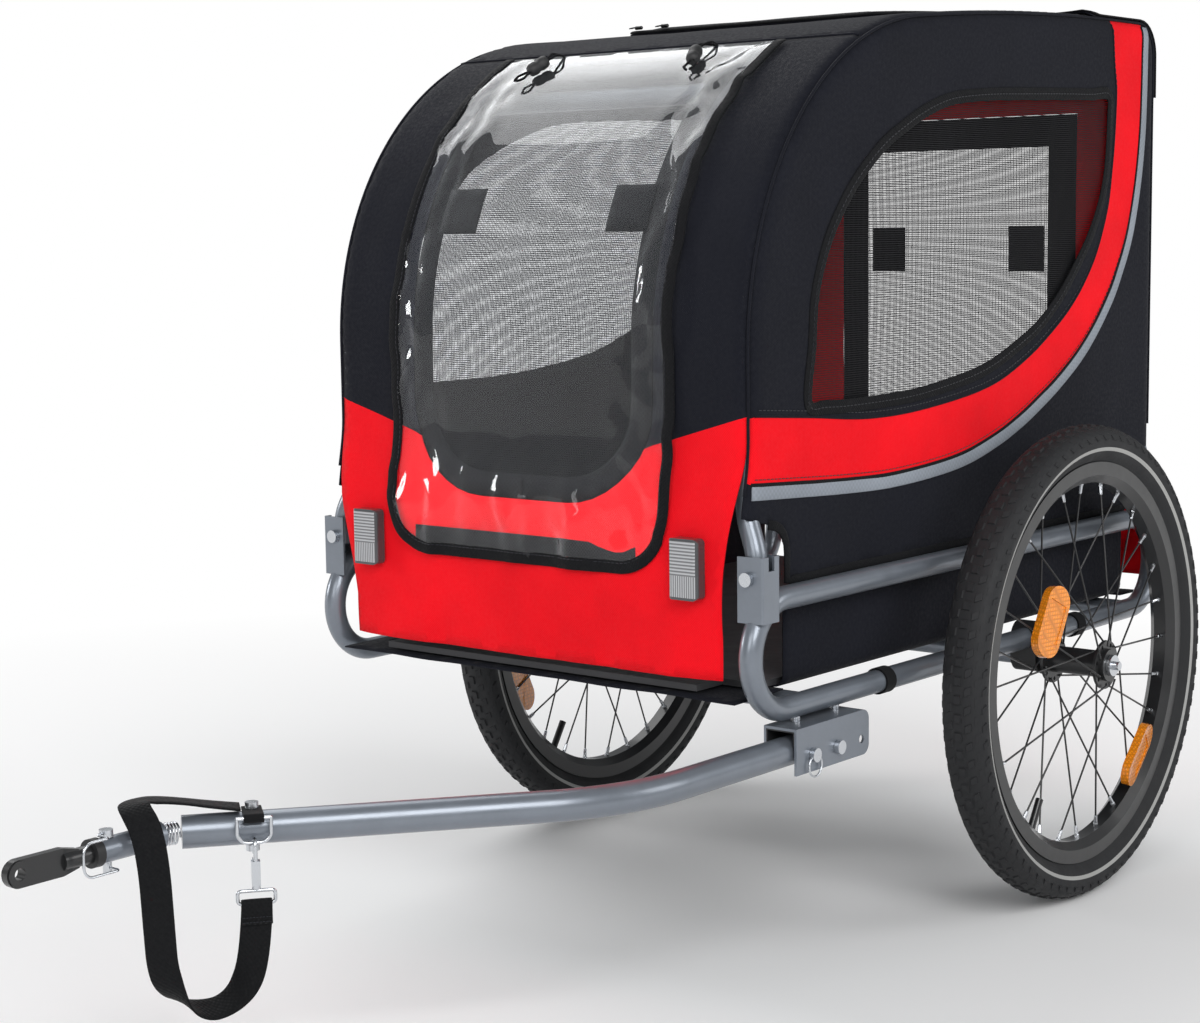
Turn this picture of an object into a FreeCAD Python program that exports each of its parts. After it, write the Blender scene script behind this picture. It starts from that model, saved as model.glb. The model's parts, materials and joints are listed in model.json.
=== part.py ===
import FreeCAD, Part
import math
import os

# Dog bike trailer, in millimetres. X runs to the trailer's left, Y to its rear, Z up.
# Sizes are given from the middle of the axle, on the ground; the last section moves the
# model so that its origin is the bottom centre of the whole trailer.

# Clearances shared by all pieces
overrun = 5.0                    # how far a cutter reaches past what it cuts
seat_gap = 0.3                   # between pieces that rest on or in each other
weld_gap = 0.05                  # between pieces that are welded or sewn together
running_gap = 0.06               # radial play of a pin in its bore
far_reach = 3000.0               # larger than the trailer, for region cutters

# Wheels
wheel_diameter = 500.0
wheel_stand = 57.0               # from the side loop to the wheel's plane
tyre_width = 47.0
tyre_bead_depth = 8.0            # how deep the tyre sits between the rim's walls
tyre_bulge_share = 0.5           # where the tyre is widest, as a share of its free height
tyre_height = 39.0               # from the rim's edge to the tread
tyre_wall = 4.0
rim_width = 29.0
rim_wall = 2.0
rim_height = 22.0
rim_bed_width = 14.0
rim_shoulder = 14.0              # from the rim's edge to where it tapers
spoke_count = 28
spoke_diameter = 2.0
spoke_cross_degrees = 51.4       # turn of a spoke from its flange hole to the rim
spoke_stagger = 2.6              # heads alternate on both faces of the flange
spoke_outer_stagger = 5.0        # for the spokes that cross the outer face
flange_diameter = 51.0
flange_spacing = 60.0
flange_thickness = 3.0
flange_hole_radius = 21.5
hub_barrel_diameter = 28.0
hub_end_diameter = 34.0
hub_end_length = 5.0
valve_degrees = 238.0            # from the rear, towards the top
valve_diameter = 8.0
valve_length = 34.0
reflector_width = 34.0
reflector_length = 76.0
reflector_thickness = 9.0
reflector_lens_depth = 1.2
reflector_inner_share = 0.55     # of the rim's radius, for the reflector nearer the hub
reflector_rim_gap = 5.67         # from the other reflector's ends to the rim
left_inner_degrees = 150.0       # from the rear, towards the top
left_outer_degrees = 314.0
right_inner_degrees = 47.1
right_outer_degrees = 206.0

# Quick-release axles
axle_diameter = 12.0
axle_insert_length = 60.0        # how far an axle reaches into the axle tube
axle_head_diameter = 22.0
axle_head_thickness = 4.0
button_diameter = 9.0
button_length = 15.0
button_stand = 6.0               # how far the button stands out of the axle's head
button_travel = 4.0

# Chassis tubes
tube_diameter = 22.0
tube_wall = 1.5
loop_stand = 5.0                 # from the cabin's side to the loop's middle
loop_front_reach = 7.0           # ahead of the cabin's front
loop_rear_inset = 8.0
lower_rail_z = 271.0
loop_height = 102.0
axle_drop = 21.0                 # from the lower rail to the axle
axle_tube_diameter = 20.0
axle_tube_wall = 3.9
cross_tube_diameter = 18.0
cross_front_inset = 78.0
cross_rear_inset = 66.0
carrier_width = 34.0
carrier_thickness = 30.0
carrier_margin = 6.0

# Hoop brackets, channels that open towards the middle
bracket_inset = 9.4              # inside the cabin's side
bracket_width = 28.0
bracket_depth = 27.0
bracket_plate = 2.5
bracket_drop = 17.0              # below and above the upper rail
bracket_rise = 43.0
bracket_bolt_stand = 2.5
bracket_bolt_rise = 23.0
bracket_notch_width = 9.0
bracket_notch_depth = 13.0
front_bracket_inset = 6.5
bolt_diameter = 8.0
bolt_head_diameter = 13.0
bolt_head_height = 5.0

# Folding hoops
hoop_diameter = 20.0
hoop_wall = 1.5
hoop_inset = 12.5
hoop_foot_margin = 8.0           # from the bolt to the end of the hoop's foot
hoop_jog_rise = 44.0             # from the upper rail to the start of the jog
hoop_jog_height = 33.0
hoop_jog_radius = 45.0
hoop_fabric_gap = 0.5
right_leg_stagger = 24.5         # the right hoop is shorter, so the rear legs pass when folded
spreader_front_degrees = 58.0    # up the front curve of the hoops
spreader_rear_inset = 98.0
spreader_end_inset = 0.4         # how far a bar ends inside the hoops' middle

# Cabin
fabric = 1.5
cabin_half_width = 260.0
cabin_front_y = -503.0
cabin_rear_y = 288.0
roof_top_z = 931.0
front_curve_radius = 316.0
roof_flat_length = 45.57         # level part before the rear corner
roof_pitch_degrees = 5.5
rear_corner_radius = 38.0
panel_bottom_rise = 29.0         # above the lower rail
front_foot_reach = 12.0          # the front panel stands forward at its foot
front_foot_rise = 57.0           # above the upper rail, as the next three
front_flare_rise = 147.0
front_narrow_rise = 79.0
side_bottom_rise = 13.0
front_narrowing = 28.0           # between the brackets
roof_seam_degrees = 66.0         # up the front curve, where the roof panel starts
side_notch_y = 66.0              # cut-outs round the brackets, from the cabin's ends
side_notch_rise = 80.0           # above the upper rail
side_notch_radius = 30.0

# Side windows, a D on its back
window_front_inset = 95.0
window_rear_inset = 111.0
window_bottom_z = 541.0
window_top_z = 845.0
window_front_rise_z = 610.0      # where the front edge starts to lean back
window_crest_run = 288.0         # where the front curve meets the top edge
window_top_degrees = 2.0
window_heel_run = 108.0          # where the rear curve meets the bottom edge
window_mesh_lap = 12.0
mesh_thickness = 0.8

# Front opening, its mesh door and the clear rain cover
front_door_lap = 26.0            # how far the rain cover reaches past the door's sides
front_door_bottom_z = 452.0
front_door_corner = 95.0
front_door_top_degrees = 64.5
door_gap = 2.0
door_border = 24.0
cover_lamp_gap = 9.5             # from the rain cover's side to the reflector beside it
cover_bottom_z = 392.0
cover_corner = 55.0
cover_thickness = 1.0

# Rear opening and its door
rear_door_half_width = 161.0
rear_door_bottom_z = 405.0
rear_door_top_z = 832.0
rear_door_corner = 70.0
rear_door_border = 36.0

# Roof hatch and the flap over the rear edge of the roof
hatch_half_width = 145.0
hatch_front_inset = 375.0        # from the cabin's front
hatch_rear_inset = 192.0         # from its rear
hatch_lap = 14.0
hatch_thickness = 9.0
flap_length = 160.0
flap_drop = 52.0
flap_thickness = 3.0

# Floor
floor_rise = 13.0                # above the lower rail
floor_side_gap = 0.6             # beside the axle carriers
floor_front_reach = 10.0
floor_rear_inset = 3.0
tub_front_inset = 66.0
tub_rear_inset = 52.0
tub_top_drop = 7.0               # below the upper rail
board_thickness = 6.0
board_margin = 12.0
board_leg_room = 40.0            # corners cut away beside the hoop brackets
webbing_width = 16.0
webbing_thickness = 2.0
webbing_places_y = (-295.0, 92.0)

# Front and rear reflectors
lamp_inset = 58.0
lamp_width = 33.0
lamp_height = 56.0
lamp_depth = 13.0
lamp_corner = 5.0
lamp_rise = 29.0                 # above the upper rail
rear_lamp_drop = 21.0            # below it

# Tow bracket under the left rail
tow_stand = 5.0                  # from the side loop to the tow bar
tow_bracket_inset = 38.0         # behind the loop's front
tow_bracket_length = 120.0
tow_bracket_drop = 58.0          # below the lower rail, as the next two
tow_pivot_drop = 42.5
bar_drop = 38.5
tow_bracket_plate = 2.5
tow_bracket_inside = 31.0
tow_bracket_corner = 10.0
tow_bracket_stand = 4.0          # gap to the rail, bridged by spacers
tow_liner = 1.2
tow_liner_drop = 12.0
tow_pivot_run = 67.0             # from the bracket's front
tow_hole_spacing = 40.5
spacer_diameter = 9.0
spacer_runs = (32.0, 96.0)       # from the bracket's front
lock_pin_diameter = 8.0
lock_pin_head_diameter = 13.0
lock_pin_head = 5.0
lock_pin_tip = 6.0
lock_ring_diameter = 20.0
lock_ring_wire = 2.0

# Tow bar
bar_diameter = 27.0
bar_wall = 2.0
bar_tail = 15.0                  # behind the pivot
bar_bend_y = -692.6
bar_bend_radius = 200.0
bar_end_x = 45.0
bar_end_y = -984.0
bar_plug = 3.0
strap_bolt_run = 312.0           # from the bend to the bolt that holds the strap
strap_bolt_diameter = 6.0
strap_bolt_head_diameter = 11.0
strap_bolt_head = 5.0

# Spring coupling and hitch
spring_heading_degrees = 19.0    # rest heading, between the bar's and the hitch's
spring_turns = 4
spring_pitch = 2.6
spring_wire = 1.8
spring_mean_diameter = 17.0
hitch_tube_diameter = 20.0
hitch_tube_wall = 2.0
hitch_tube_length = 66.0
hitch_collar_diameter = 24.0
hitch_collar_length = 18.0
hitch_cap_diameter = 23.0
hitch_cap_length = 8.0
hitch_cap_lap = 5.0
rod_diameter = 15.0
rod_insert = 40.0
rod_reach = 27.0                 # from the cap to the eye plate
eye_plate_width = 22.0
eye_plate_thickness = 7.0
eye_plate_length = 41.0          # from the rod to the centre of the eye
eye_bore_diameter = 10.0
eye_boss_diameter = 20.0
eye_boss_height = 1.5
hitch_pin_run = 52.0             # from the tube's rear end to the pin
hitch_pin_diameter = 7.0
hitch_pin_head_diameter = 11.0
hitch_pin_head = 6.0
hitch_pin_tip = 8.0
bail_wire = 2.2
bail_reach = 34.0                # how far the wire runs forward of the pin
bail_side = 15.0                 # how far it stands to the near side of the hitch
bail_bend = 9.0
bail_pivot_reach = 9.0           # how far the wire runs out of the pin's head
bail_pivot_bend = 3.0

# Ring, snap hook and safety strap on the tow bar
ring_width = 27.0
ring_drop = 20.0
ring_bend_share = 0.45           # of the drop, for the ring's lower bends
ring_wire = 3.0
ring_tab_width = 16.0
ring_tab_thickness = 2.0
ring_offset = 20.0               # from the bar's axis to the ring
hook_wire = 3.4
hook_loop_width = 12.0
hook_bend_share = 0.1            # of the wire, left straight over the hook's top
hook_loop_height = 17.0
hook_body_width = 11.0
hook_body_height = 20.0
hook_body_depth = 7.0
gate_width = 6.0
gate_depth = 4.0
gate_swing_gap = 0.6
strap_ring_width = 30.0
strap_ring_height = 10.5
strap_ring_wire = 3.0
strap_ring_drop_share = 1.5      # of its wire, from the hook's body to the ring
strap_diameter = 7.0
strap_bend_share = 0.45          # of the shorter run beside a bend

# Route of the safety strap, from the bolt to the snap hook, chosen by hand, as places from the bar's end
strap_route = [
    (28.5, 37.0, 17.3),
    (15.0, 20.0, 20.5),
    (1.0, 0.0, 25.5),
    (-12.0, -19.0, 28.5),
    (-14.0, -37.0, 29.5),
    (0.0, -47.0, 28.5),
    (13.0, -48.0, 13.5),
    (17.0, -47.0, -17.5),
    (17.5, -45.0, -62.5),
    (17.0, -42.0, -106.5),
    (21.0, -26.0, -137.5),
    (31.0, 0.0, -150.5),
    (42.0, 21.0, -136.5),
    (50.0, 29.0, -104.5),
    (52.3, 30.6, -61.0),
]


# Places worked out from the sizes above
wheel_radius = wheel_diameter / 2
rim_edge_radius = wheel_radius - tyre_height
reflector_inner_radius = rim_edge_radius * reflector_inner_share
reflector_reach = rim_edge_radius - rim_height - reflector_rim_gap - reflector_width / 2
reflector_outer_radius = math.sqrt(reflector_reach ** 2 - (reflector_length / 2 - reflector_width / 2) ** 2)
axle_z = lower_rail_z - axle_drop
upper_rail_z = lower_rail_z + loop_height
loop_x = cabin_half_width + loop_stand
loop_front_y = cabin_front_y - loop_front_reach
loop_rear_y = cabin_rear_y - loop_rear_inset
wheel_plane_x = loop_x + wheel_stand
cross_front_y = cabin_front_y + cross_front_inset
cross_rear_y = cabin_rear_y - cross_rear_inset
bracket_inner_x = cabin_half_width - bracket_inset
bracket_bottom_z = upper_rail_z - bracket_drop
bracket_top_z = upper_rail_z + bracket_rise
bracket_bolt_x = cabin_half_width + bracket_bolt_stand
bracket_bolt_z = upper_rail_z + bracket_bolt_rise
front_bracket_y = cabin_front_y + front_bracket_inset
hoop_x = cabin_half_width - hoop_inset
hoop_jog_low_z = upper_rail_z + hoop_jog_rise
hoop_jog_high_z = hoop_jog_low_z + hoop_jog_height
spreader_rear_y = cabin_rear_y - spreader_rear_inset
panel_bottom_z = lower_rail_z + panel_bottom_rise
front_foot_y = cabin_front_y - front_foot_reach
front_foot_z = upper_rail_z + front_foot_rise
front_flare_z = upper_rail_z + front_flare_rise
front_narrow_z = upper_rail_z + front_narrow_rise
front_narrow_half_width = cabin_half_width - front_narrowing
side_bottom_z = upper_rail_z + side_bottom_rise
side_notch_z = upper_rail_z + side_notch_rise
window_front_y = cabin_front_y + window_front_inset
window_rear_y = cabin_rear_y - window_rear_inset
window_crest_y = window_front_y + window_crest_run
window_heel_y = window_front_y + window_heel_run
hatch_front_y = cabin_front_y + hatch_front_inset
hatch_rear_y = cabin_rear_y - hatch_rear_inset
flap_front_y = cabin_rear_y - flap_length
floor_fabric_z = lower_rail_z + floor_rise
floor_half_width = loop_x - carrier_thickness / 2 - floor_side_gap
floor_front_y = cabin_front_y - floor_front_reach
floor_rear_y = cabin_rear_y - floor_rear_inset
tub_front_y = cabin_front_y + tub_front_inset
tub_rear_y = cabin_rear_y - tub_rear_inset
tub_top_z = upper_rail_z - tub_top_drop
lamp_half_spacing = cabin_half_width - lamp_inset
cover_half_width = lamp_half_spacing - lamp_width / 2 - cover_lamp_gap
front_door_half_width = cover_half_width - front_door_lap
lamp_z = upper_rail_z + lamp_rise
rear_lamp_z = upper_rail_z - rear_lamp_drop
tow_x = loop_x + tow_stand
tow_bracket_front_y = loop_front_y + tow_bracket_inset
tow_bracket_rear_y = tow_bracket_front_y + tow_bracket_length
tow_bracket_bottom_z = lower_rail_z - tow_bracket_drop
tow_pivot_y = tow_bracket_front_y + tow_pivot_run
tow_pivot_z = lower_rail_z - tow_pivot_drop
bar_z = lower_rail_z - bar_drop


# Building helpers
def vec(x, y, z):
    return FreeCAD.Vector(x, y, z)


axis_x = vec(1, 0, 0)
axis_y = vec(0, 1, 0)
axis_z = vec(0, 0, 1)
ground_centre = vec(0, 0, 0)


def box(x_span, y_span, z_span):
    """A box from three (low, high) pairs."""
    low = vec(min(x_span), min(y_span), min(z_span))
    high = vec(max(x_span), max(y_span), max(z_span))
    size = high - low
    return Part.makeBox(size.x, size.y, size.z, low)


def rod(start, end, diameter):
    """A round bar between two points."""
    along = end - start
    return Part.makeCylinder(diameter / 2, along.Length, start, along)


def fuse(shapes):
    """One solid from shapes that meet or overlap."""
    whole = shapes[0]
    if len(shapes) > 1:
        whole = whole.multiFuse(shapes[1:])
    return whole.removeSplitter()


def mirrored(shape):
    """The same piece on the trailer's other side."""
    return shape.mirror(ground_centre, axis_x)


def disc(centre, normal, radius):
    return Part.Face(Part.Wire(Part.Circle(centre, normal, radius).toShape()))


def bends(corners, radii):
    """Tangent points and turn of each rounded corner of a route."""
    found = []
    for index in range(1, len(corners) - 1):
        into = (corners[index] - corners[index - 1]).normalize()
        out = (corners[index + 1] - corners[index]).normalize()
        turn = into.getAngle(out)
        reach = radii[index - 1] * math.tan(turn / 2)
        found.append((corners[index] - into * reach, corners[index] + out * reach, into, out, turn))
    return found


def bent_bar(corners, radii, diameter):
    """A round bar of straight runs joined by tangent bends."""
    solids = []
    start = corners[0]
    for bend, radius in zip(bends(corners, radii), radii):
        first, last, into, out, turn = bend
        if (first - start).Length > weld_gap:
            solids.append(rod(start, first, diameter))
        normal = into.cross(out).normalize()
        centre = first + normal.cross(into) * radius
        section = disc(first, into, diameter / 2)
        solids.append(section.revolve(centre, normal, math.degrees(turn)))
        start = last
    solids.append(rod(start, corners[-1], diameter))
    return fuse(solids)


def swept_bar(corners, radii, diameter):
    """The same as one sweep along lines and tangent arcs."""
    edges = []
    start = corners[0]
    for bend, radius in zip(bends(corners, radii), radii):
        first, last, into, out, turn = bend
        if (first - start).Length > weld_gap:
            edges.append(Part.LineSegment(start, first).toShape())
        inward = (out - into).normalize()
        centre = (first + last) * 0.5 + inward * (radius * math.cos(turn / 2))
        edges.append(Part.Arc(first, centre - inward * radius, last).toShape())
        start = last
    if (corners[-1] - start).Length > weld_gap:
        edges.append(Part.LineSegment(start, corners[-1]).toShape())
    section = Part.Circle(corners[0], corners[1] - corners[0], diameter / 2).toShape()
    return Part.Wire(edges).makePipeShell([Part.Wire(section)], True, False)


def bent_tube(corners, radii, diameter, wall):
    """A hollow bent bar, open at both ends."""
    outer = bent_bar(corners, radii, diameter)
    first = (corners[0] - corners[1]).normalize() * overrun
    last = (corners[-1] - corners[-2]).normalize() * overrun
    inside = [corners[0] + first] + corners[1:-1] + [corners[-1] + last]
    return outer.cut(bent_bar(inside, radii, diameter - 2 * wall))


def ring_of(profile, centre, axis):
    """A closed profile of (radius, along) pairs turned about an axis that points along +-X."""
    points = [centre + axis_z * radius + axis * along for radius, along in profile]
    face = Part.Face(Part.makePolygon(points + points[:1]))
    return face.revolve(centre, axis, 360)


def prism(points, direction):
    """A polygon pushed along a direction."""
    return Part.Face(Part.makePolygon(points + points[:1])).extrude(direction)


def u_outline(half_width, bottom, top, corner):
    """A wire in the XZ plane with rounded lower corners."""
    diagonal = corner * math.sqrt(0.5)
    left = vec(half_width - corner, 0, bottom + corner)
    right = vec(corner - half_width, 0, bottom + corner)
    edges = [
        Part.LineSegment(vec(half_width, 0, top), vec(half_width, 0, bottom + corner)),
        Part.Arc(vec(half_width, 0, bottom + corner), left + vec(diagonal, 0, -diagonal),
                 vec(half_width - corner, 0, bottom)),
        Part.LineSegment(vec(half_width - corner, 0, bottom), vec(corner - half_width, 0, bottom)),
        Part.Arc(vec(corner - half_width, 0, bottom), right + vec(-diagonal, 0, -diagonal),
                 vec(-half_width, 0, bottom + corner)),
        Part.LineSegment(vec(-half_width, 0, bottom + corner), vec(-half_width, 0, top)),
        Part.LineSegment(vec(-half_width, 0, top), vec(half_width, 0, top)),
    ]
    return Part.Wire([edge.toShape() for edge in edges])


def u_block(half_width, bottom, top, corner, y_span):
    wire = u_outline(half_width, bottom, top, corner)
    wire.translate(vec(0, y_span[0], 0))
    return Part.Face(wire).extrude(vec(0, y_span[1] - y_span[0], 0))


def biarc(start, end, start_way, end_way):
    """Two tangent arcs between two points with given directions."""
    span = end - start
    ways = start_way + end_way
    bend = 2 * (1 - start_way.dot(end_way))
    across = span.dot(ways)
    reach = (-across + math.sqrt(across ** 2 + bend * span.dot(span))) / bend
    meet = (start + start_way * reach + end - end_way * reach) * 0.5
    arcs = []
    for first, last, tip in ((start, meet, start + start_way * reach), (meet, end, end - end_way * reach)):
        chord = last - first
        middle = (first + last) * 0.5
        half_turn = (tip - first).getAngle(chord)
        rise = chord.Length / 2 * math.tan(half_turn / 2)
        arcs.append(Part.Arc(first, middle + (tip - middle).normalize() * rise, last).toShape())
    return arcs


# Curves and directions worked out from the sizes above
arc_share = math.sqrt(0.5)        # the middle of a quarter turn
hoop_radius = hoop_diameter / 2
hoop_offset = fabric + hoop_fabric_gap + hoop_radius
roof_pitch = math.radians(roof_pitch_degrees)
front_centre_y = cabin_front_y + front_curve_radius
crown_start_y = front_centre_y - front_curve_radius * math.sin(roof_pitch)
crown_end_y = cabin_rear_y - rear_corner_radius - roof_flat_length
roof_crown_radius = (crown_end_y - crown_start_y) / math.sin(roof_pitch)
front_centre_z = (roof_top_z - roof_crown_radius
                  + (roof_crown_radius - front_curve_radius) * math.cos(roof_pitch))
crown_centre_y = front_centre_y + (roof_crown_radius - front_curve_radius) * math.sin(roof_pitch)
crown_centre_z = roof_top_z - roof_crown_radius
rear_leg_y = cabin_rear_y - hoop_offset
front_leg_y = cabin_front_y + hoop_offset
bar_direction = (vec(bar_end_x, bar_end_y, 0) - vec(tow_x, bar_bend_y, 0)).normalize()
bar_side = vec(-bar_direction.y, bar_direction.x, 0)
nodes = {}


# Wheels: tyre, rim, spokes, hub, reflectors and valve
def tyre_section(wall):
    """The tyre's section turned about the axle, taken in by a wall's thickness."""
    bead = rim_width / 2 - rim_wall - seat_gap - wall
    inner = rim_edge_radius - tyre_bead_depth - wall
    edge = rim_edge_radius + seat_gap
    widest = edge + (wheel_radius - edge) * tyre_bulge_share
    crown = vec(0, 0, wheel_radius - wall)
    half = tyre_width / 2 - wall
    rise = wheel_radius - wall - widest
    side = vec(half, 0, widest)
    edges = [
        Part.LineSegment(vec(-bead, 0, inner), vec(bead, 0, inner)),
        Part.LineSegment(vec(bead, 0, inner), vec(bead, 0, edge)),
        Part.LineSegment(vec(bead, 0, edge), side),
        Part.Arc(side, vec(half * arc_share, 0, widest + rise * arc_share), crown),
        Part.Arc(crown, vec(-half * arc_share, 0, widest + rise * arc_share), vec(-half, 0, widest)),
        Part.LineSegment(vec(-half, 0, widest), vec(-bead, 0, edge)),
        Part.LineSegment(vec(-bead, 0, edge), vec(-bead, 0, inner)),
    ]
    face = Part.Face(Part.Wire([edge.toShape() for edge in edges]))
    return face.revolve(ground_centre, axis_x, 360)


def tyre():
    return tyre_section(0).cut(tyre_section(tyre_wall))


def rim():
    half = rim_width / 2
    bed = rim_edge_radius - tyre_bead_depth - seat_gap
    inner = rim_edge_radius - rim_height
    half_profile = [(rim_edge_radius, half), (rim_edge_radius - rim_shoulder, half),
                    (inner, rim_bed_width / 2)]
    channel = [(bed, half - rim_wall), (rim_edge_radius, half - rim_wall)]
    near = half_profile + [(radius, -along) for radius, along in reversed(half_profile)]
    far = [(radius, -along) for radius, along in reversed(channel)] + channel
    return ring_of(near + far, ground_centre, axis_x)


def hub():
    flange = flange_diameter / 2
    barrel = hub_barrel_diameter / 2
    collar = hub_end_diameter / 2
    bore = axle_diameter / 2 + running_gap
    inside = flange_spacing / 2 - flange_thickness / 2
    outside = inside + flange_thickness
    end = outside + hub_end_length
    half = [(barrel, 0), (barrel, inside), (flange, inside), (flange, outside),
            (collar, outside), (collar, end), (bore, end)]
    profile = half + [(radius, -along) for radius, along in reversed(half)]
    body = ring_of(profile, ground_centre, axis_x)
    hole = (flange_diameter / 2 - hub_end_diameter / 2) / 2
    cutters = []
    for index in range(spoke_count // 2):
        turn = 2 * math.pi * (index + 0.5) / (spoke_count // 2)
        place = vec(0, math.cos(turn), math.sin(turn)) * (flange - hole)
        span = axis_x * (end + overrun)
        cutters.append(rod(place - span, place + span, hole))
    return body.cut(Part.makeCompound(cutters[::2]))


def spokes():
    solids = []
    rim_inside = rim_edge_radius - rim_height - weld_gap
    for index in range(spoke_count):
        rim_turn = 2 * math.pi * index / spoke_count
        side = 1 if index % 2 == 0 else -1
        lead = 1 if (index // 2) % 2 == 0 else -1
        hub_turn = rim_turn + lead * math.radians(spoke_cross_degrees)
        stagger = spoke_outer_stagger if lead > 0 else -spoke_stagger
        hub_x = side * (flange_spacing / 2 + stagger)
        inner = vec(hub_x, flange_hole_radius * math.cos(hub_turn), flange_hole_radius * math.sin(hub_turn))
        outer = vec(0, rim_inside * math.cos(rim_turn), rim_inside * math.sin(rim_turn))
        outer = outer - (outer - inner).normalize() * seat_gap
        solids.append(rod(inner, outer, spoke_diameter))
    return solids


def reflector(radius, turn_degrees):
    """A rounded lens laid across the spokes, with a sunk face."""
    half = reflector_width / 2
    straight = reflector_length / 2 - half
    block = box((0, reflector_thickness), (-half, half), (-straight, straight))
    ends = [rod(vec(0, 0, place), vec(reflector_thickness, 0, place), reflector_width)
            for place in (-straight, straight)]
    lens = fuse([block] + ends)
    rim_of_lens = reflector_thickness / 2
    pocket = box((reflector_thickness - reflector_lens_depth, reflector_thickness + overrun),
                 (-half + rim_of_lens, half - rim_of_lens), (-straight, straight))
    lens = lens.cut(pocket)
    rise = rim_edge_radius - rim_height - flange_hole_radius
    hub_reach = flange_spacing / 2 + spoke_outer_stagger
    lean = math.atan(hub_reach / rise)
    spoke_x = hub_reach * (rim_edge_radius - rim_height - radius) / rise
    lens.rotate(ground_centre, axis_z, math.degrees(lean))
    lens.translate(vec(spoke_x + (spoke_diameter / 2 + seat_gap) / math.cos(lean), radius, 0))
    lens.rotate(ground_centre, axis_x, turn_degrees)
    return lens


def valve():
    turn = math.radians(valve_degrees)
    outward = vec(0, math.cos(turn), math.sin(turn))
    top = outward * (rim_edge_radius - rim_height - weld_gap)
    return rod(top, top - outward * valve_length, valve_diameter)


def add_wheel(side, name, inner_degrees, outer_degrees):
    place = vec(side * wheel_plane_x, 0, axle_z)
    pieces = {
        "tyre": [tyre()], "rim": [rim(), valve()], "hub": [hub()], "spokes": spokes(),
        "wheel_reflectors": [reflector(reflector_inner_radius, inner_degrees),
                             reflector(reflector_outer_radius, outer_degrees)],
    }
    for piece, solids in pieces.items():
        placed = []
        for solid in solids:
            moved = solid if side > 0 else mirrored(solid)
            moved.translate(place)
            placed.append(moved)
        nodes[piece + "_" + name] = placed


def quick_axle():
    """The push-button axle that holds a wheel in the axle tube, and its button."""
    outer = wheel_plane_x + flange_spacing / 2 + flange_thickness / 2 + hub_end_length + seat_gap
    head = outer + axle_head_thickness
    inner = wheel_plane_x - flange_spacing / 2 - axle_insert_length
    pin = fuse([rod(vec(inner, 0, axle_z), vec(head, 0, axle_z), axle_diameter),
                rod(vec(outer, 0, axle_z), vec(head, 0, axle_z), axle_head_diameter)])
    floor = head + button_stand - button_length - button_travel - seat_gap
    bore = rod(vec(floor, 0, axle_z), vec(head + overrun, 0, axle_z), button_diameter + 2 * running_gap)
    button = rod(vec(head + button_stand - button_length, 0, axle_z),
                 vec(head + button_stand, 0, axle_z), button_diameter)
    return pin.cut(bore), button


# Chassis
def loop_bar(diameter):
    """Closed side loop: two U-shaped halves that meet in the middle of the rails."""
    end_radius = (upper_rail_z - lower_rail_z) / 2
    middle_y = (loop_front_y + loop_rear_y) / 2
    halves = []
    for end_y in (loop_front_y, loop_rear_y):
        corners = [vec(loop_x, middle_y, lower_rail_z), vec(loop_x, end_y, lower_rail_z),
                   vec(loop_x, end_y, upper_rail_z), vec(loop_x, middle_y, upper_rail_z)]
        halves.append(swept_bar(corners, [end_radius, end_radius], diameter))
    return halves[0].fuse(halves[1])


def side_loop():
    return loop_bar(tube_diameter).cut(loop_bar(tube_diameter - 2 * tube_wall))


def cross_tube(y):
    reach = vec(loop_x, 0, 0)
    middle = vec(0, y, lower_rail_z)
    tube = rod(middle - reach, middle + reach, cross_tube_diameter)
    inside = rod(middle - reach, middle + reach, cross_tube_diameter - 2 * tube_wall)
    rail = loop_bar(tube_diameter + 2 * weld_gap)
    return tube.cut(inside).cut(rail).cut(mirrored(rail))


def axle_tube():
    reach = vec(wheel_plane_x - flange_spacing / 2 - flange_thickness / 2 - hub_end_length - seat_gap, 0, 0)
    middle = vec(0, 0, axle_z)
    tube = rod(middle - reach, middle + reach, axle_tube_diameter)
    return tube.cut(rod(middle - reach, middle + reach, axle_tube_diameter - 2 * axle_tube_wall))


def axle_carrier():
    """Clamp that hangs the axle tube under the lower rail."""
    half = carrier_thickness / 2
    top = lower_rail_z + tube_diameter / 2 + carrier_margin
    low = axle_z - axle_tube_diameter / 2 - carrier_margin
    middle = (top + low) / 2
    straight = (top - low) / 2 - carrier_width / 2
    body = [box((loop_x - half, loop_x + half), (-carrier_width / 2, carrier_width / 2),
                (middle - straight, middle + straight))]
    for place in (middle - straight, middle + straight):
        body.append(rod(vec(loop_x - half, 0, place), vec(loop_x + half, 0, place), carrier_width))
    rail = rod(vec(loop_x, -carrier_width, lower_rail_z), vec(loop_x, carrier_width, lower_rail_z),
               tube_diameter + 2 * weld_gap)
    axle = rod(vec(0, 0, axle_z), vec(wheel_plane_x, 0, axle_z), axle_tube_diameter + 2 * weld_gap)
    return fuse(body).cut(rail).cut(axle)


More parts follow.
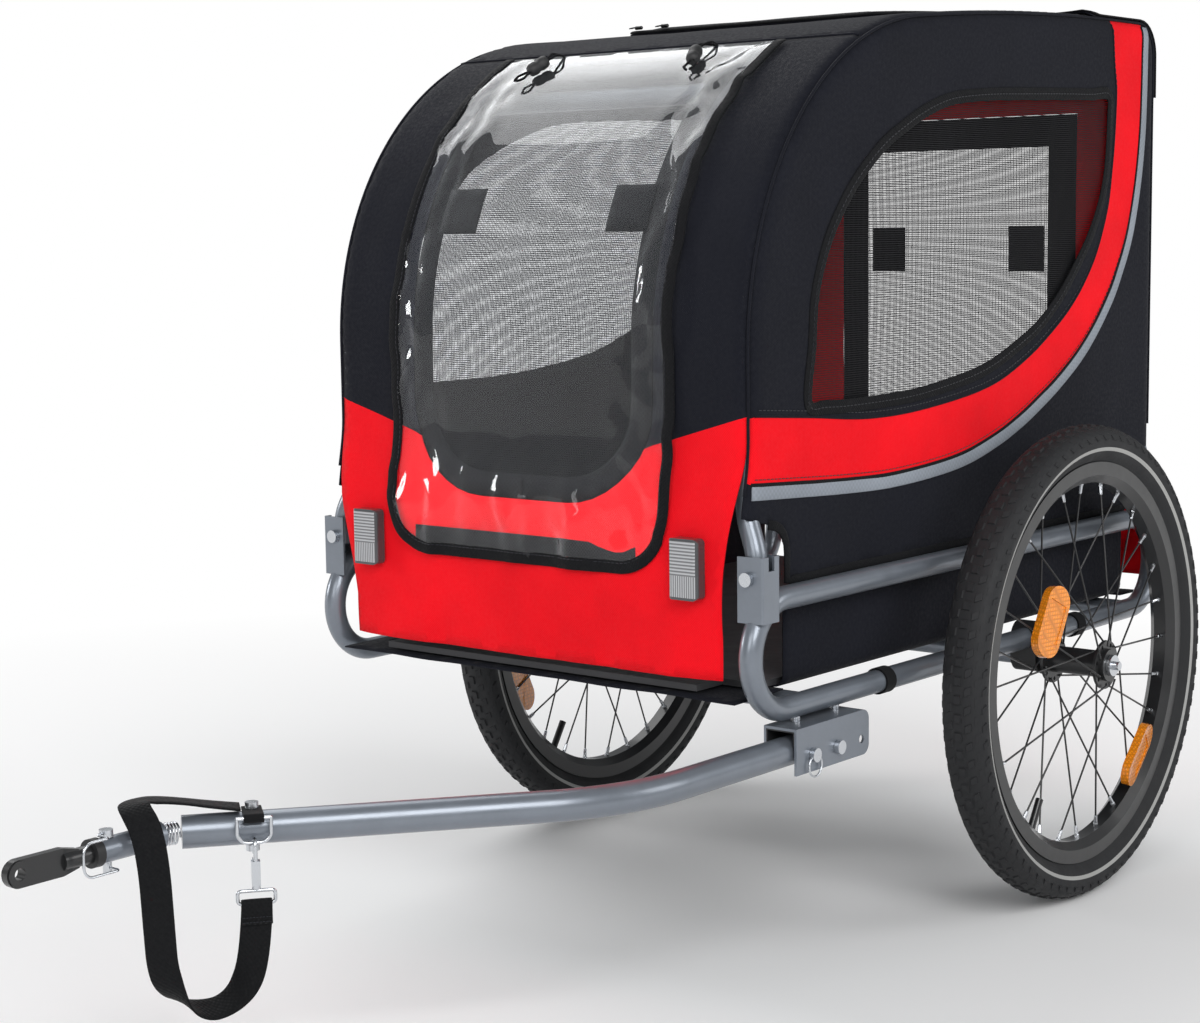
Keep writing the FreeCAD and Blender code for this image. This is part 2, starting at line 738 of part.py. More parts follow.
def hoop_bracket(y):
    outer_x = bracket_inner_x + bracket_width
    half = bracket_depth / 2
    body = box((bracket_inner_x, outer_x), (y - half, y + half), (bracket_bottom_z, bracket_top_z))
    web_edges = [edge for edge in body.Edges
                 if abs(edge.CenterOfMass.x - outer_x) < weld_gap
                 and abs(edge.tangentAt(edge.FirstParameter).z) > 1 - weld_gap]
    body = body.makeFillet(bracket_plate, web_edges)
    pocket = box((bracket_inner_x - overrun, outer_x - bracket_plate),
                 (y - half + bracket_plate, y + half - bracket_plate),
                 (bracket_bottom_z - overrun, bracket_top_z + overrun))
    notch = box((outer_x - 2 * bracket_plate, outer_x + overrun),
                (y - bracket_notch_width / 2, y + bracket_notch_width / 2),
                (bracket_top_z - bracket_notch_depth, bracket_top_z + overrun))
    bore = rod(vec(bracket_bolt_x, y - bracket_depth, bracket_bolt_z),
               vec(bracket_bolt_x, y + bracket_depth, bracket_bolt_z), bolt_diameter + 2 * running_gap)
    rail = loop_bar(tube_diameter + 2 * weld_gap)
    return fuse([body.cut(pocket).cut(notch).cut(bore).cut(rail)])


def hoop_bolt(y):
    half = bracket_depth / 2 + seat_gap
    ends = [vec(bracket_bolt_x, y + side * half, bracket_bolt_z) for side in (-1, 1)]
    head = axis_y * bolt_head_height
    return fuse([rod(ends[0] - head, ends[1] + head, bolt_diameter),
                 rod(ends[0] - head, ends[0], bolt_head_diameter),
                 rod(ends[1], ends[1] + head, bolt_head_diameter)])


# Folding hoops and the bars that spread them
def hoop_corners(rear_y):
    """Corners of a hoop's centre line, from the front foot to the rear foot."""
    front_radius = front_curve_radius - hoop_offset
    crown_radius = roof_crown_radius - hoop_offset
    top = roof_top_z - hoop_offset
    meet = vec(hoop_x, front_centre_y - front_radius * math.sin(roof_pitch),
               front_centre_z + front_radius * math.cos(roof_pitch))
    along = vec(0, math.cos(roof_pitch), math.sin(roof_pitch))
    front_reach = front_radius * math.tan((math.pi / 2 - roof_pitch) / 2)
    crown_reach = crown_radius * math.tan(roof_pitch / 2)
    foot_z = bracket_bolt_z - hoop_foot_margin
    return [
        vec(bracket_bolt_x, front_bracket_y, foot_z),
        vec(bracket_bolt_x, front_bracket_y, hoop_jog_low_z),
        vec(hoop_x, front_leg_y, hoop_jog_high_z),
        meet - along * front_reach,
        meet + along * crown_reach,
        vec(hoop_x, rear_y, top),
        vec(hoop_x, rear_y, hoop_jog_high_z),
        vec(bracket_bolt_x, rear_y, hoop_jog_low_z),
        vec(bracket_bolt_x, rear_y, foot_z),
    ]


def hoop(rear_y):
    radii = [hoop_jog_radius, hoop_jog_radius, front_curve_radius - hoop_offset,
             roof_crown_radius - hoop_offset, rear_corner_radius - fabric - hoop_fabric_gap,
             hoop_jog_radius, hoop_jog_radius]
    tube = bent_tube(hoop_corners(rear_y), radii, hoop_diameter, hoop_wall)
    reach = axis_y * hoop_diameter
    for y in (front_bracket_y, rear_y):
        middle = vec(bracket_bolt_x, y, bracket_bolt_z)
        tube = tube.cut(rod(middle - reach, middle + reach, bolt_diameter + 2 * running_gap))
    return tube


def spreader_bars():
    """Two bars that seat under the hoops and hold them apart."""
    drop = hoop_offset + hoop_diameter + seat_gap
    turn = math.radians(spreader_front_degrees)
    front = vec(0, front_centre_y - (front_curve_radius - drop) * math.cos(turn),
                front_centre_z + (front_curve_radius - drop) * math.sin(turn))
    rear_rise = math.sqrt((roof_crown_radius - drop) ** 2 - (spreader_rear_y - crown_centre_y) ** 2)
    rear = vec(0, spreader_rear_y, crown_centre_z + rear_rise)
    reach = vec(hoop_x - spreader_end_inset, 0, 0)
    bars = []
    for middle in (front, rear):
        bar = rod(middle - reach, middle + reach, hoop_diameter)
        bars.append(bar.cut(rod(middle - reach, middle + reach, hoop_diameter - 2 * hoop_wall)))
    return bars


# Cabin fabric
def on_front_curve(degrees, offset):
    """A point on the front curve, pushed out from the fabric's outer face."""
    turn = math.radians(degrees)
    radius = front_curve_radius + offset
    return vec(0, front_centre_y - radius * math.cos(turn), front_centre_z + radius * math.sin(turn))


def cabin_outline(offset, bottom):
    """Side outline of the cabin, pushed out by an offset, as a face in the YZ plane."""
    front = front_curve_radius + offset
    crown = roof_crown_radius + offset
    corner = rear_corner_radius + offset
    top = roof_top_z + offset
    rear = cabin_rear_y + offset
    foot = front_foot_y - offset
    wall = cabin_front_y - offset
    mid_front = math.radians((90 + roof_pitch_degrees) / 2)
    meet = vec(0, front_centre_y - front * math.sin(roof_pitch),
               front_centre_z + front * math.cos(roof_pitch))
    half_pitch = roof_pitch / 2
    diagonal = corner * math.sqrt(0.5)
    corner_centre = vec(0, rear - corner, top - corner)
    wall_top = vec(0, wall, front_centre_z)
    edges = [
        Part.LineSegment(vec(0, foot, bottom), vec(0, foot, front_foot_z)),
        Part.LineSegment(vec(0, foot, front_foot_z), vec(0, wall, front_flare_z)),
        Part.LineSegment(vec(0, wall, front_flare_z), wall_top),
        Part.Arc(wall_top, vec(0, front_centre_y - front * math.sin(mid_front),
                               front_centre_z + front * math.cos(mid_front)), meet),
        Part.Arc(meet, vec(0, crown_centre_y - crown * math.sin(half_pitch),
                           crown_centre_z + crown * math.cos(half_pitch)), vec(0, crown_centre_y, top)),
        Part.LineSegment(vec(0, crown_centre_y, top), vec(0, rear - corner, top)),
        Part.Arc(vec(0, rear - corner, top), corner_centre + vec(0, diagonal, diagonal),
                 vec(0, rear, top - corner)),
        Part.LineSegment(vec(0, rear, top - corner), vec(0, rear, bottom)),
        Part.LineSegment(vec(0, rear, bottom), vec(0, foot, bottom)),
    ]
    return Part.Face(Part.Wire([edge.toShape() for edge in edges]))


def cabin_block(offset, bottom, half_width):
    face = cabin_outline(offset, bottom)
    face.translate(vec(-half_width, 0, 0))
    return face.extrude(vec(2 * half_width, 0, 0))


def skin(inner_offset, outer_offset, bottom, half_width):
    """A bent sheet between two offsets of the cabin's outline."""
    outer = cabin_block(outer_offset, bottom, half_width)
    return outer.cut(cabin_block(inner_offset, bottom - overrun, half_width + overrun))


def before_seam(degrees):
    """Region in front of a radial plane through the front curve."""
    ray = on_front_curve(degrees, far_reach)
    centre = vec(0, front_centre_y, front_centre_z)
    points = [centre, ray, vec(0, -far_reach, ray.z), vec(0, -far_reach, 0), vec(0, front_centre_y, 0)]
    for point in points:
        point.x = -far_reach
    return prism(points, vec(2 * far_reach, 0, 0))


def bracket_room(half_width, top):
    """Regions beside the brackets that a panel leaves free."""
    return Part.makeCompound([box((side * half_width, side * far_reach), (-far_reach, far_reach), (0, top))
                              for side in (-1, 1)])


inner_half_width = cabin_half_width - fabric - weld_gap


def front_panel():
    sheet = skin(-fabric, 0, panel_bottom_z, inner_half_width).common(before_seam(roof_seam_degrees))
    opening = u_block(front_door_half_width, front_door_bottom_z, far_reach, front_door_corner,
                      (-far_reach, front_centre_y))
    opening = opening.common(before_seam(front_door_top_degrees))
    return sheet.cut(opening).cut(bracket_room(front_narrow_half_width, front_narrow_z))


def front_sheet(inner_offset, outer_offset, half_width, bottom, corner, top_degrees):
    """A door-shaped piece of sheet on the front of the cabin."""
    sheet = skin(inner_offset, outer_offset, panel_bottom_z, inner_half_width)
    shape = u_block(half_width, bottom, far_reach, corner, (-far_reach, front_centre_y))
    return sheet.common(shape).common(before_seam(top_degrees))


def door_pitch(length, radius):
    """Degrees along the front curve that a length takes up."""
    return math.degrees(length / radius)


def front_door():
    """Border of the front door and the mesh sewn inside it."""
    top = front_door_top_degrees - door_pitch(seat_gap, front_curve_radius)
    half = front_door_half_width - door_gap
    low = front_door_bottom_z + door_gap
    whole = front_sheet(-fabric, 0, half, low, front_door_corner - door_gap, top)
    mesh_top = top - door_pitch(door_border, front_curve_radius)
    inner = (half - door_border, low + door_border, front_door_corner - door_border, mesh_top)
    border = whole.cut(front_sheet(-2 * fabric, fabric, *inner))
    sewn_top = mesh_top - door_pitch(weld_gap, front_curve_radius)
    trimmed = (inner[0] - weld_gap, inner[1] + weld_gap, inner[2], sewn_top)
    middle = -fabric / 2
    mesh = front_sheet(middle - mesh_thickness / 2, middle + mesh_thickness / 2, *trimmed)
    return border, mesh


def rain_cover():
    top = front_door_top_degrees - door_pitch(seat_gap, front_curve_radius)
    return front_sheet(seat_gap, seat_gap + cover_thickness, cover_half_width, cover_bottom_z,
                       cover_corner, top)


def roof_rear_limit():
    """Region in front of and above the rear wall's top edge."""
    edge = roof_top_z - rear_corner_radius
    return box((-far_reach, far_reach), (-far_reach, far_reach), (edge, far_reach))


def roof_panel():
    sheet = skin(-fabric, 0, panel_bottom_z, inner_half_width)
    front = before_seam(roof_seam_degrees + door_pitch(weld_gap, front_curve_radius))
    opening = box((-hatch_half_width, hatch_half_width), (hatch_front_y, hatch_rear_y),
                  (front_centre_z, far_reach))
    return sheet.cut(front).common(roof_rear_limit()).cut(opening)


def roof_hatch():
    block = skin(seat_gap, seat_gap + hatch_thickness, panel_bottom_z, hatch_half_width + hatch_lap)
    area = box((-far_reach, far_reach), (hatch_front_y - hatch_lap, hatch_rear_y + hatch_lap),
               (front_centre_z, far_reach))
    inside = skin(-fabric, seat_gap + hatch_thickness - fabric, panel_bottom_z, hatch_half_width)
    room = box((-far_reach, far_reach), (hatch_front_y, hatch_rear_y), (front_centre_z, far_reach))
    return block.common(area).cut(inside.common(room))


def rear_flap():
    block = skin(seat_gap, seat_gap + flap_thickness, panel_bottom_z, inner_half_width)
    low = roof_top_z - rear_corner_radius - flap_drop
    area = box((-far_reach, far_reach), (flap_front_y, far_reach), (low, far_reach))
    return block.common(area)


def rear_shape(half_width, bottom, top, corner):
    """A flat sheet in the rear wall with rounded corners."""
    wall = box((-half_width, half_width), (cabin_rear_y - fabric, cabin_rear_y), (bottom, top))
    edges = [edge for edge in wall.Edges if abs(edge.tangentAt(edge.FirstParameter).y) > 1 - weld_gap]
    return wall.makeFillet(corner, edges)


def rear_panel():
    edge = roof_top_z - rear_corner_radius - weld_gap
    sheet = box((-inner_half_width, inner_half_width), (cabin_rear_y - fabric, cabin_rear_y),
                (panel_bottom_z, edge))
    opening = rear_shape(rear_door_half_width, rear_door_bottom_z, rear_door_top_z, rear_door_corner)
    return sheet.cut(opening).cut(bracket_room(front_narrow_half_width, front_narrow_z))


def rear_door():
    half = rear_door_half_width - door_gap
    low = rear_door_bottom_z + door_gap
    top = rear_door_top_z - seat_gap
    whole = rear_shape(half, low, top, rear_door_corner - door_gap)
    inner = rear_shape(half - rear_door_border, low + rear_door_border, top - rear_door_border,
                       rear_door_corner - rear_door_border)
    fitted = half - rear_door_border - weld_gap
    mesh = rear_shape(fitted, low + rear_door_border + weld_gap, top - rear_door_border - weld_gap,
                      rear_door_corner - rear_door_border)
    slice_middle = cabin_rear_y - fabric / 2
    layer = box((-far_reach, far_reach),
                (slice_middle - mesh_thickness / 2, slice_middle + mesh_thickness / 2), (0, far_reach))
    return whole.cut(inner), mesh.common(layer)


def window_outline(margin):
    """The D of a side window in the YZ plane, grown by a margin."""
    front = window_front_y - margin
    rear = window_rear_y + margin
    low = window_bottom_z - margin
    top = window_top_z + margin
    slope = math.radians(window_top_degrees)
    level = vec(0, math.cos(slope), math.sin(slope))
    foot = vec(0, front, window_front_rise_z)
    heel = vec(0, window_heel_y, low)
    crest = vec(0, window_crest_y, top - (rear - window_crest_y) * math.tan(slope))
    edges = [Part.LineSegment(vec(0, front, low), foot).toShape()]
    edges += biarc(foot, crest, axis_z, level)
    edges.append(Part.LineSegment(crest, vec(0, rear, top)).toShape())
    edges += biarc(vec(0, rear, top), heel, -axis_z, -axis_y)
    edges.append(Part.LineSegment(heel, vec(0, front, low)).toShape())
    return Part.Face(Part.Wire(edges))


def side_panel():
    face = cabin_outline(0, side_bottom_z)
    face.translate(vec(cabin_half_width - fabric, 0, 0))
    sheet = face.extrude(vec(fabric, 0, 0))
    window = window_outline(0).extrude(vec(far_reach, 0, 0))
    cutters = [window]
    for end_y, side in ((cabin_front_y, 1), (cabin_rear_y, -1)):
        corner = box((0, far_reach), (end_y + side * side_notch_y, end_y - side * far_reach),
                     (side_bottom_z - overrun, side_notch_z))
        inner = [edge for edge in corner.Edges
                 if abs(edge.tangentAt(edge.FirstParameter).x) > 1 - weld_gap
                 and abs(edge.CenterOfMass.y - end_y - side * side_notch_y) < weld_gap
                 and abs(edge.CenterOfMass.z - side_notch_z) < weld_gap]
        cutters.append(corner.makeFillet(side_notch_radius, inner))
    return sheet.cut(cutters)


def window_mesh():
    face = window_outline(window_mesh_lap)
    face.translate(vec(cabin_half_width - fabric - seat_gap - mesh_thickness, 0, 0))
    return face.extrude(vec(mesh_thickness, 0, 0))


# Floor
def floor_tub():
    """Fabric floor with low side walls that hang inside the rails."""
    floor = box((-floor_half_width, floor_half_width), (floor_front_y, floor_rear_y),
                (floor_fabric_z, floor_fabric_z + fabric))
    floor = floor.cut(bracket_room(front_narrow_half_width, far_reach)
                      .common(box((-far_reach, far_reach), (-far_reach, tub_front_y), (0, far_reach))))
    walls = [box((side * floor_half_width, side * (floor_half_width - fabric)), (tub_front_y, tub_rear_y),
                 (floor_fabric_z, tub_top_z)) for side in (-1, 1)]
    return fuse([floor] + walls)


def floor_board():
    half = floor_half_width - board_margin
    base = floor_fabric_z + fabric + weld_gap
    board = box((-half, half), (floor_front_y + board_margin, floor_rear_y - board_margin),
                (base, base + board_thickness))
    corners = []
    for side in (-1, 1):
        for end_y, turn in ((floor_front_y, 1), (floor_rear_y, -1)):
            corners.append(box((side * (half - board_leg_room), side * far_reach),
                               (end_y + turn * (board_margin + board_leg_room), end_y - turn * far_reach),
                               (0, far_reach)))
    return board.cut(corners)


def rail_webbing(y):
    """A flat loop of webbing round the lower rail."""
    reach = axis_y * (webbing_width / 2)
    middle = vec(loop_x, y, lower_rail_z)
    inside = tube_diameter + 2 * weld_gap
    loop = rod(middle - reach, middle + reach, inside + 2 * webbing_thickness)
    return loop.cut(rod(middle - reach, middle + reach, inside))


def lamp(side, z, wall_y, outward):
    """A rounded reflector block on the front or rear panel."""
    half = lamp_width / 2
    near = wall_y + outward * seat_gap
    block = box((side * lamp_half_spacing - half, side * lamp_half_spacing + half),
                (near, near + outward * lamp_depth), (z - lamp_height / 2, z + lamp_height / 2))
    edges = [edge for edge in block.Edges
             if abs(edge.CenterOfMass.y - near) > lamp_depth / 2 - weld_gap
             and abs(edge.tangentAt(edge.FirstParameter).x) < weld_gap]
    return block.makeFillet(lamp_corner, edges)


# Tow bracket and tow bar
def tow_bracket():
    half = tow_bracket_inside / 2 + tow_bracket_plate
    top = lower_rail_z - tube_diameter / 2 - tow_bracket_stand
    body = box((tow_x - half, tow_x + half), (tow_bracket_front_y, tow_bracket_rear_y),
               (tow_bracket_bottom_z, top))
    rounded = [edge for edge in body.Edges
               if abs(edge.tangentAt(edge.FirstParameter).x) > 1 - weld_gap
               and edge.CenterOfMass.y > tow_pivot_y]
    body = body.makeFillet(tow_bracket_corner, rounded)
    pocket = box((tow_x - tow_bracket_inside / 2, tow_x + tow_bracket_inside / 2),
                 (tow_bracket_front_y - overrun, tow_bracket_rear_y + overrun),
                 (tow_bracket_bottom_z - overrun, top - tow_bracket_plate))
    reach = axis_x * (tow_bracket_inside + overrun)
    cutters = [pocket]
    for step in (-1, 0, 1):
        hole = vec(tow_x, tow_pivot_y + step * tow_hole_spacing, tow_pivot_z)
        cutters.append(rod(hole - reach, hole + reach, lock_pin_diameter + 2 * running_gap))
    return body.cut(cutters)


def tow_liner_piece():
    """Plastic wear liner under the top of the bracket."""
    half = tow_bracket_inside / 2 - weld_gap
    top = lower_rail_z - tube_diameter / 2 - tow_bracket_stand - tow_bracket_plate - weld_gap
    body = box((tow_x - half, tow_x + half), (tow_bracket_front_y, tow_bracket_rear_y),
               (top - tow_liner_drop, top))
    pocket = box((tow_x - half + tow_liner, tow_x + half - tow_liner),
                 (tow_bracket_front_y - overrun, tow_bracket_rear_y + overrun),
                 (top - tow_liner_drop - overrun, top - tow_liner))
    rear = box((tow_x - half, tow_x + half), (tow_bracket_rear_y - tow_bracket_corner, far_reach),
               (0, far_reach))
    return body.cut(pocket).cut(rear)


def tow_spacers():
    rail_low = lower_rail_z - tube_diameter / 2
    spacers = []
    for run in spacer_runs:
        y = tow_bracket_front_y + run
        spacer = rod(vec(loop_x, y, rail_low - tow_bracket_stand), vec(loop_x, y, lower_rail_z),
                     spacer_diameter)
        spacers.append(spacer.cut(loop_bar(tube_diameter + 2 * weld_gap)))
    return spacers


def tow_bolt():
    half = tow_bracket_inside / 2 + tow_bracket_plate + seat_gap
    middle = vec(tow_x, tow_pivot_y, tow_pivot_z)
    head = axis_x * bolt_head_height
    near = middle + axis_x * half
    far = middle - axis_x * half
    return fuse([rod(far - head, near + head, bolt_diameter),
                 rod(far - head, far, bolt_head_diameter), rod(near, near + head, bolt_head_diameter)])


def lock_pin():
    half = tow_bracket_inside / 2 + tow_bracket_plate + seat_gap
    middle = vec(tow_x, tow_pivot_y - tow_hole_spacing, tow_pivot_z)
    near = middle + axis_x * half
    head = axis_x * lock_pin_head
    ring_centre = near + head * 0.5 - axis_z * (lock_ring_diameter / 2)
    ring = Part.makeTorus(lock_ring_diameter / 2, lock_ring_wire / 2, ring_centre, axis_x)
    return fuse([rod(middle - axis_x * (half + lock_pin_tip), near + head, lock_pin_diameter),
                 rod(near, near + head, lock_pin_head_diameter), ring])


def tow_bar():
    """Bent tube with the pivot bore and an open slot that clears the lock pin."""
    corners = [vec(tow_x, tow_pivot_y + bar_tail, bar_z), vec(tow_x, bar_bend_y, bar_z),
               vec(bar_end_x, bar_end_y, bar_z)]
    tube = bent_tube(corners, [bar_bend_radius], bar_diameter, bar_wall)
    end = corners[-1]
    plug = rod(end - bar_direction * bar_plug, end, bar_diameter - 2 * bar_wall)
    reach = axis_x * bar_diameter
    pivot = vec(tow_x, tow_pivot_y, tow_pivot_z)
    pin = pivot - axis_y * tow_hole_spacing
    slot_half = lock_pin_diameter / 2 + seat_gap
    slot = box((tow_x - bar_diameter, tow_x + bar_diameter),
               (pin.y - slot_half, pin.y + slot_half + (bar_diameter / 2) ** 2 / tow_hole_spacing),
               (tow_pivot_z, bar_z + bar_diameter))
    strap_hole = vec(tow_x, bar_bend_y, bar_z) + bar_direction * strap_bolt_run
    drop = axis_z * bar_diameter
    cutters = [rod(pivot - reach, pivot + reach, bolt_diameter + 2 * running_gap),
               rod(pin - reach, pin + reach, 2 * slot_half), slot,
               rod(strap_hole - drop, strap_hole + drop, strap_bolt_diameter + 2 * running_gap)]
    return fuse([tube, plug]).cut(cutters)


strap_bolt_place = vec(tow_x, bar_bend_y, bar_z) + bar_direction * strap_bolt_run
tab_bottom_z = bar_z + bar_diameter / 2 + seat_gap
ring_axis_z = tab_bottom_z - ring_wire / 2


def strap_bolt():
    half = bar_diameter / 2 + seat_gap
    under = strap_bolt_place - axis_z * half
    top = vec(strap_bolt_place.x, strap_bolt_place.y, tab_bottom_z + ring_tab_thickness + seat_gap)
    head = axis_z * strap_bolt_head
    return fuse([rod(under - head, top + head, strap_bolt_diameter),
                 rod(under - head, under, strap_bolt_head_diameter),
                 rod(top, top + head, strap_bolt_head_diameter)])


def along_bar(run, side, z):
    """A point from the strap bolt, along the bar, to its near side and at a height."""
    place = strap_bolt_place + bar_direction * run + bar_side * side
    return vec(place.x, place.y, z)


def bar_box(runs, sides, heights):
    """A box that lies along the bar's second run."""
    points = [along_bar(run, side, heights[0]) for run, side in
              ((runs[0], sides[0]), (runs[1], sides[0]), (runs[1], sides[1]), (runs[0], sides[1]))]
    return prism(points, vec(0, 0, heights[1] - heights[0]))


def ring_tab():
    """Tab under the strap bolt's head, curled round the ring's straight side."""
    half = ring_tab_width / 2
    curl = ring_wire + 2 * seat_gap
    plate = bar_box((-half, half), (-half, ring_offset), (tab_bottom_z, tab_bottom_z + ring_tab_thickness))
    sleeve_axis = (along_bar(-half, ring_offset, ring_axis_z), along_bar(half, ring_offset, ring_axis_z))
    sleeve = rod(sleeve_axis[0], sleeve_axis[1], curl + 2 * ring_tab_thickness)
    bore = rod(along_bar(-ring_width, ring_offset, ring_axis_z),
               along_bar(ring_width, ring_offset, ring_axis_z), curl)
    hole = rod(strap_bolt_place, strap_bolt_place + axis_z * bar_diameter,
               strap_bolt_diameter + 2 * running_gap)
    tube_room = rod(along_bar(-ring_width, 0, bar_z), along_bar(ring_width, 0, bar_z),
                    bar_diameter + 2 * seat_gap)
    return fuse([plate, sleeve]).cut([bore, hole, tube_room])


def d_ring():
    half = ring_width / 2
    ends = [along_bar(side * half, ring_offset, ring_axis_z) for side in (-1, 1)]
    bend = ring_drop * ring_bend_share
    corners = [ends[0], ends[0] - axis_z * ring_drop, ends[1] - axis_z * ring_drop, ends[1]]
    bow = bent_bar(corners, [bend, bend], ring_wire)
    balls = [Part.makeSphere(ring_wire / 2, end) for end in ends]
    return fuse([rod(ends[0], ends[1], ring_wire), bow] + balls)


hook_top_z = ring_axis_z - ring_drop + hook_wire
hook_body_top_z = hook_top_z - hook_loop_height
hook_body_low_z = hook_body_top_z - hook_body_height


def snap_hook():
    """Hook loop through the ring, on a flat body with a strap ring under it."""
    half = hook_loop_width / 2
    near = ring_offset + half
    far = ring_offset - half
    corners = [along_bar(0, near, hook_body_top_z), along_bar(0, near, hook_top_z),
               along_bar(0, far, hook_top_z), along_bar(0, far, hook_body_top_z + hook_wire)]
    bend = half - hook_wire * hook_bend_share
    loop = bent_bar(corners, [bend, bend], hook_wire)
    body_half = hook_body_width / 2
    body = bar_box((-hook_body_depth / 2, hook_body_depth / 2),
                   (ring_offset, near + hook_wire / 2), (hook_body_low_z, hook_body_top_z))
    stem = rod(along_bar(0, ring_offset + body_half / 2, hook_body_low_z - strap_ring_wire),
               along_bar(0, ring_offset + body_half / 2, hook_body_low_z), hook_body_depth)
    return fuse([loop, body, stem])


def snap_gate():
    """Sprung lever that closes the hook's open side."""
    far = ring_offset - gate_swing_gap
    body = bar_box((-gate_depth / 2, gate_depth / 2), (far - gate_width, far),
                   (hook_body_low_z + gate_depth, hook_body_top_z))
    return body


def strap_ring():
    side = ring_offset + hook_body_width / 4
    top = hook_body_low_z - strap_ring_wire * strap_ring_drop_share - seat_gap
    low = top - strap_ring_height
    half = strap_ring_width / 2
    bend = strap_ring_wire
    middle_top = along_bar(0, side, top)
    corners = [middle_top, along_bar(half, side, top), along_bar(half, side, low),
               along_bar(-half, side, low), along_bar(-half, side, top), middle_top]
    return bent_bar(corners, [bend] * 4, strap_ring_wire)


# Spring coupling and hitch
spring_heading = math.radians(spring_heading_degrees)
spring_direction = vec(-math.sin(spring_heading), -math.cos(spring_heading), 0)
spring_length = spring_turns * spring_pitch + spring_wire
bar_end = vec(bar_end_x, bar_end_y, bar_z)
coil_radius = (spring_mean_diameter + spring_wire) / 2
bar_lean = coil_radius * math.tan(bar_direction.getAngle(spring_direction))
hitch_lean = coil_radius * math.tan(spring_heading)
spring_start = bar_end + spring_direction * (bar_lean + seat_gap)
spring_end = spring_start + spring_direction * spring_length
hitch_start = spring_end + spring_direction * (hitch_lean + seat_gap)


def coupling_spring():
    """One unbroken coil between the bar's end and the hitch tube."""
    radius = spring_mean_diameter / 2
    side = axis_z.cross(spring_direction)
    quarter = math.pi / 2
    base = spring_start + spring_direction * (spring_wire / 2)

    def place(turn):
        rise = spring_pitch * turn / (2 * math.pi)
        around = side * (radius * math.cos(turn)) + axis_z * (radius * math.sin(turn))
        return base + spring_direction * rise + around

    def heading(turn):
        round_way = side * (-radius * math.sin(turn)) + axis_z * (radius * math.cos(turn))
        return (round_way + spring_direction * (spring_pitch / (2 * math.pi))).normalize()

    stops = [quarter * index for index in range(4 * spring_turns + 1)]
    edges = [Part.LineSegment(place(0) - heading(0) * spring_wire, place(0)).toShape()]
    for first, last in zip(stops, stops[1:]):
        edges += biarc(place(first), place(last), heading(first), heading(last))
    end = stops[-1]
    edges.append(Part.LineSegment(place(end), place(end) + heading(end) * spring_wire).toShape())
    start = place(0) - heading(0) * spring_wire
    section = Part.Wire(Part.Circle(start, heading(0), spring_wire / 2).toShape())
    coil = Part.Wire(edges).makePipeShell([section], True, False)
    samples = [place(2 * math.pi * index / 36) for index in range(36 * spring_turns + 1)]
    least = min((samples[index + 36] - samples[index]).Length for index in range(len(samples) - 36))
    print("spring: least gap between curls", round(least - spring_wire, 2), "volume share",
          round(coil.Volume / (math.pi * (spring_wire / 2) ** 2 * Part.Wire(edges).Length), 4))
    return coil


def hitch_point(run, side=0.0, rise=0.0):
    """A point on the hitch, forward of the tube's rear end."""
    return hitch_start + vec(side, -run, rise)


hitch_pin_place = hitch_point(hitch_pin_run)
hitch_nose_run = hitch_tube_length + hitch_cap_length - hitch_cap_lap
eye_run = hitch_nose_run + rod_reach + eye_plate_length


def hitch_tube():
    tube = fuse([rod(hitch_point(0), hitch_point(hitch_tube_length), hitch_tube_diameter),
                 rod(hitch_point(0), hitch_point(hitch_collar_length), hitch_collar_diameter)])
    bore = rod(hitch_point(bar_plug), hitch_point(hitch_tube_length + overrun),
               hitch_tube_diameter - 2 * hitch_tube_wall)
    drop = axis_z * hitch_tube_diameter
    pin = rod(hitch_pin_place - drop, hitch_pin_place + drop, hitch_pin_diameter + 2 * running_gap)
    return tube.cut([bore, pin])


def hitch_cap():
    rear = hitch_tube_length - hitch_cap_lap
    sleeve = rod(hitch_point(rear), hitch_point(hitch_nose_run), hitch_cap_diameter)
    seat = rod(hitch_point(rear - overrun), hitch_point(hitch_tube_length + weld_gap),
               hitch_tube_diameter + 2 * weld_gap)
    bore = rod(hitch_point(rear), hitch_point(hitch_nose_run + overrun), rod_diameter + 2 * weld_gap)
    return sleeve.cut([seat, bore])


def hitch_rod():
    """Round insert that flattens into an eye plate for the bicycle's axle."""
    plate_half = eye_plate_width / 2
    neck = hitch_nose_run + rod_reach
    shank = rod(hitch_point(hitch_tube_length - rod_insert), hitch_point(neck), rod_diameter)
    half = eye_plate_thickness / 2
    blade = prism([hitch_point(neck - rod_diameter, -half, -rod_diameter / 2),
                   hitch_point(neck, -half, -plate_half), hitch_point(eye_run, -half, -plate_half),
                   hitch_point(eye_run, -half, plate_half), hitch_point(neck, -half, plate_half),
                   hitch_point(neck - rod_diameter, -half, rod_diameter / 2)],
                  vec(eye_plate_thickness, 0, 0))
    nose = rod(hitch_point(eye_run, -half), hitch_point(eye_run, half), eye_plate_width)
    boss = rod(hitch_point(eye_run, -half - eye_boss_height), hitch_point(eye_run, half + eye_boss_height),
               eye_boss_diameter)
    eye = rod(hitch_point(eye_run, -eye_plate_width), hitch_point(eye_run, eye_plate_width),
              eye_bore_diameter)
    drop = axis_z * rod_diameter
    pin = rod(hitch_pin_place - drop, hitch_pin_place + drop, hitch_pin_diameter + 2 * running_gap)
    return fuse([shank, blade, nose, boss]).cut([eye, pin])


bail_top_z = hitch_tube_diameter / 2 + seat_gap + hitch_pin_head / 2
bail_low_z = -hitch_tube_diameter / 2 - hitch_pin_tip / 2


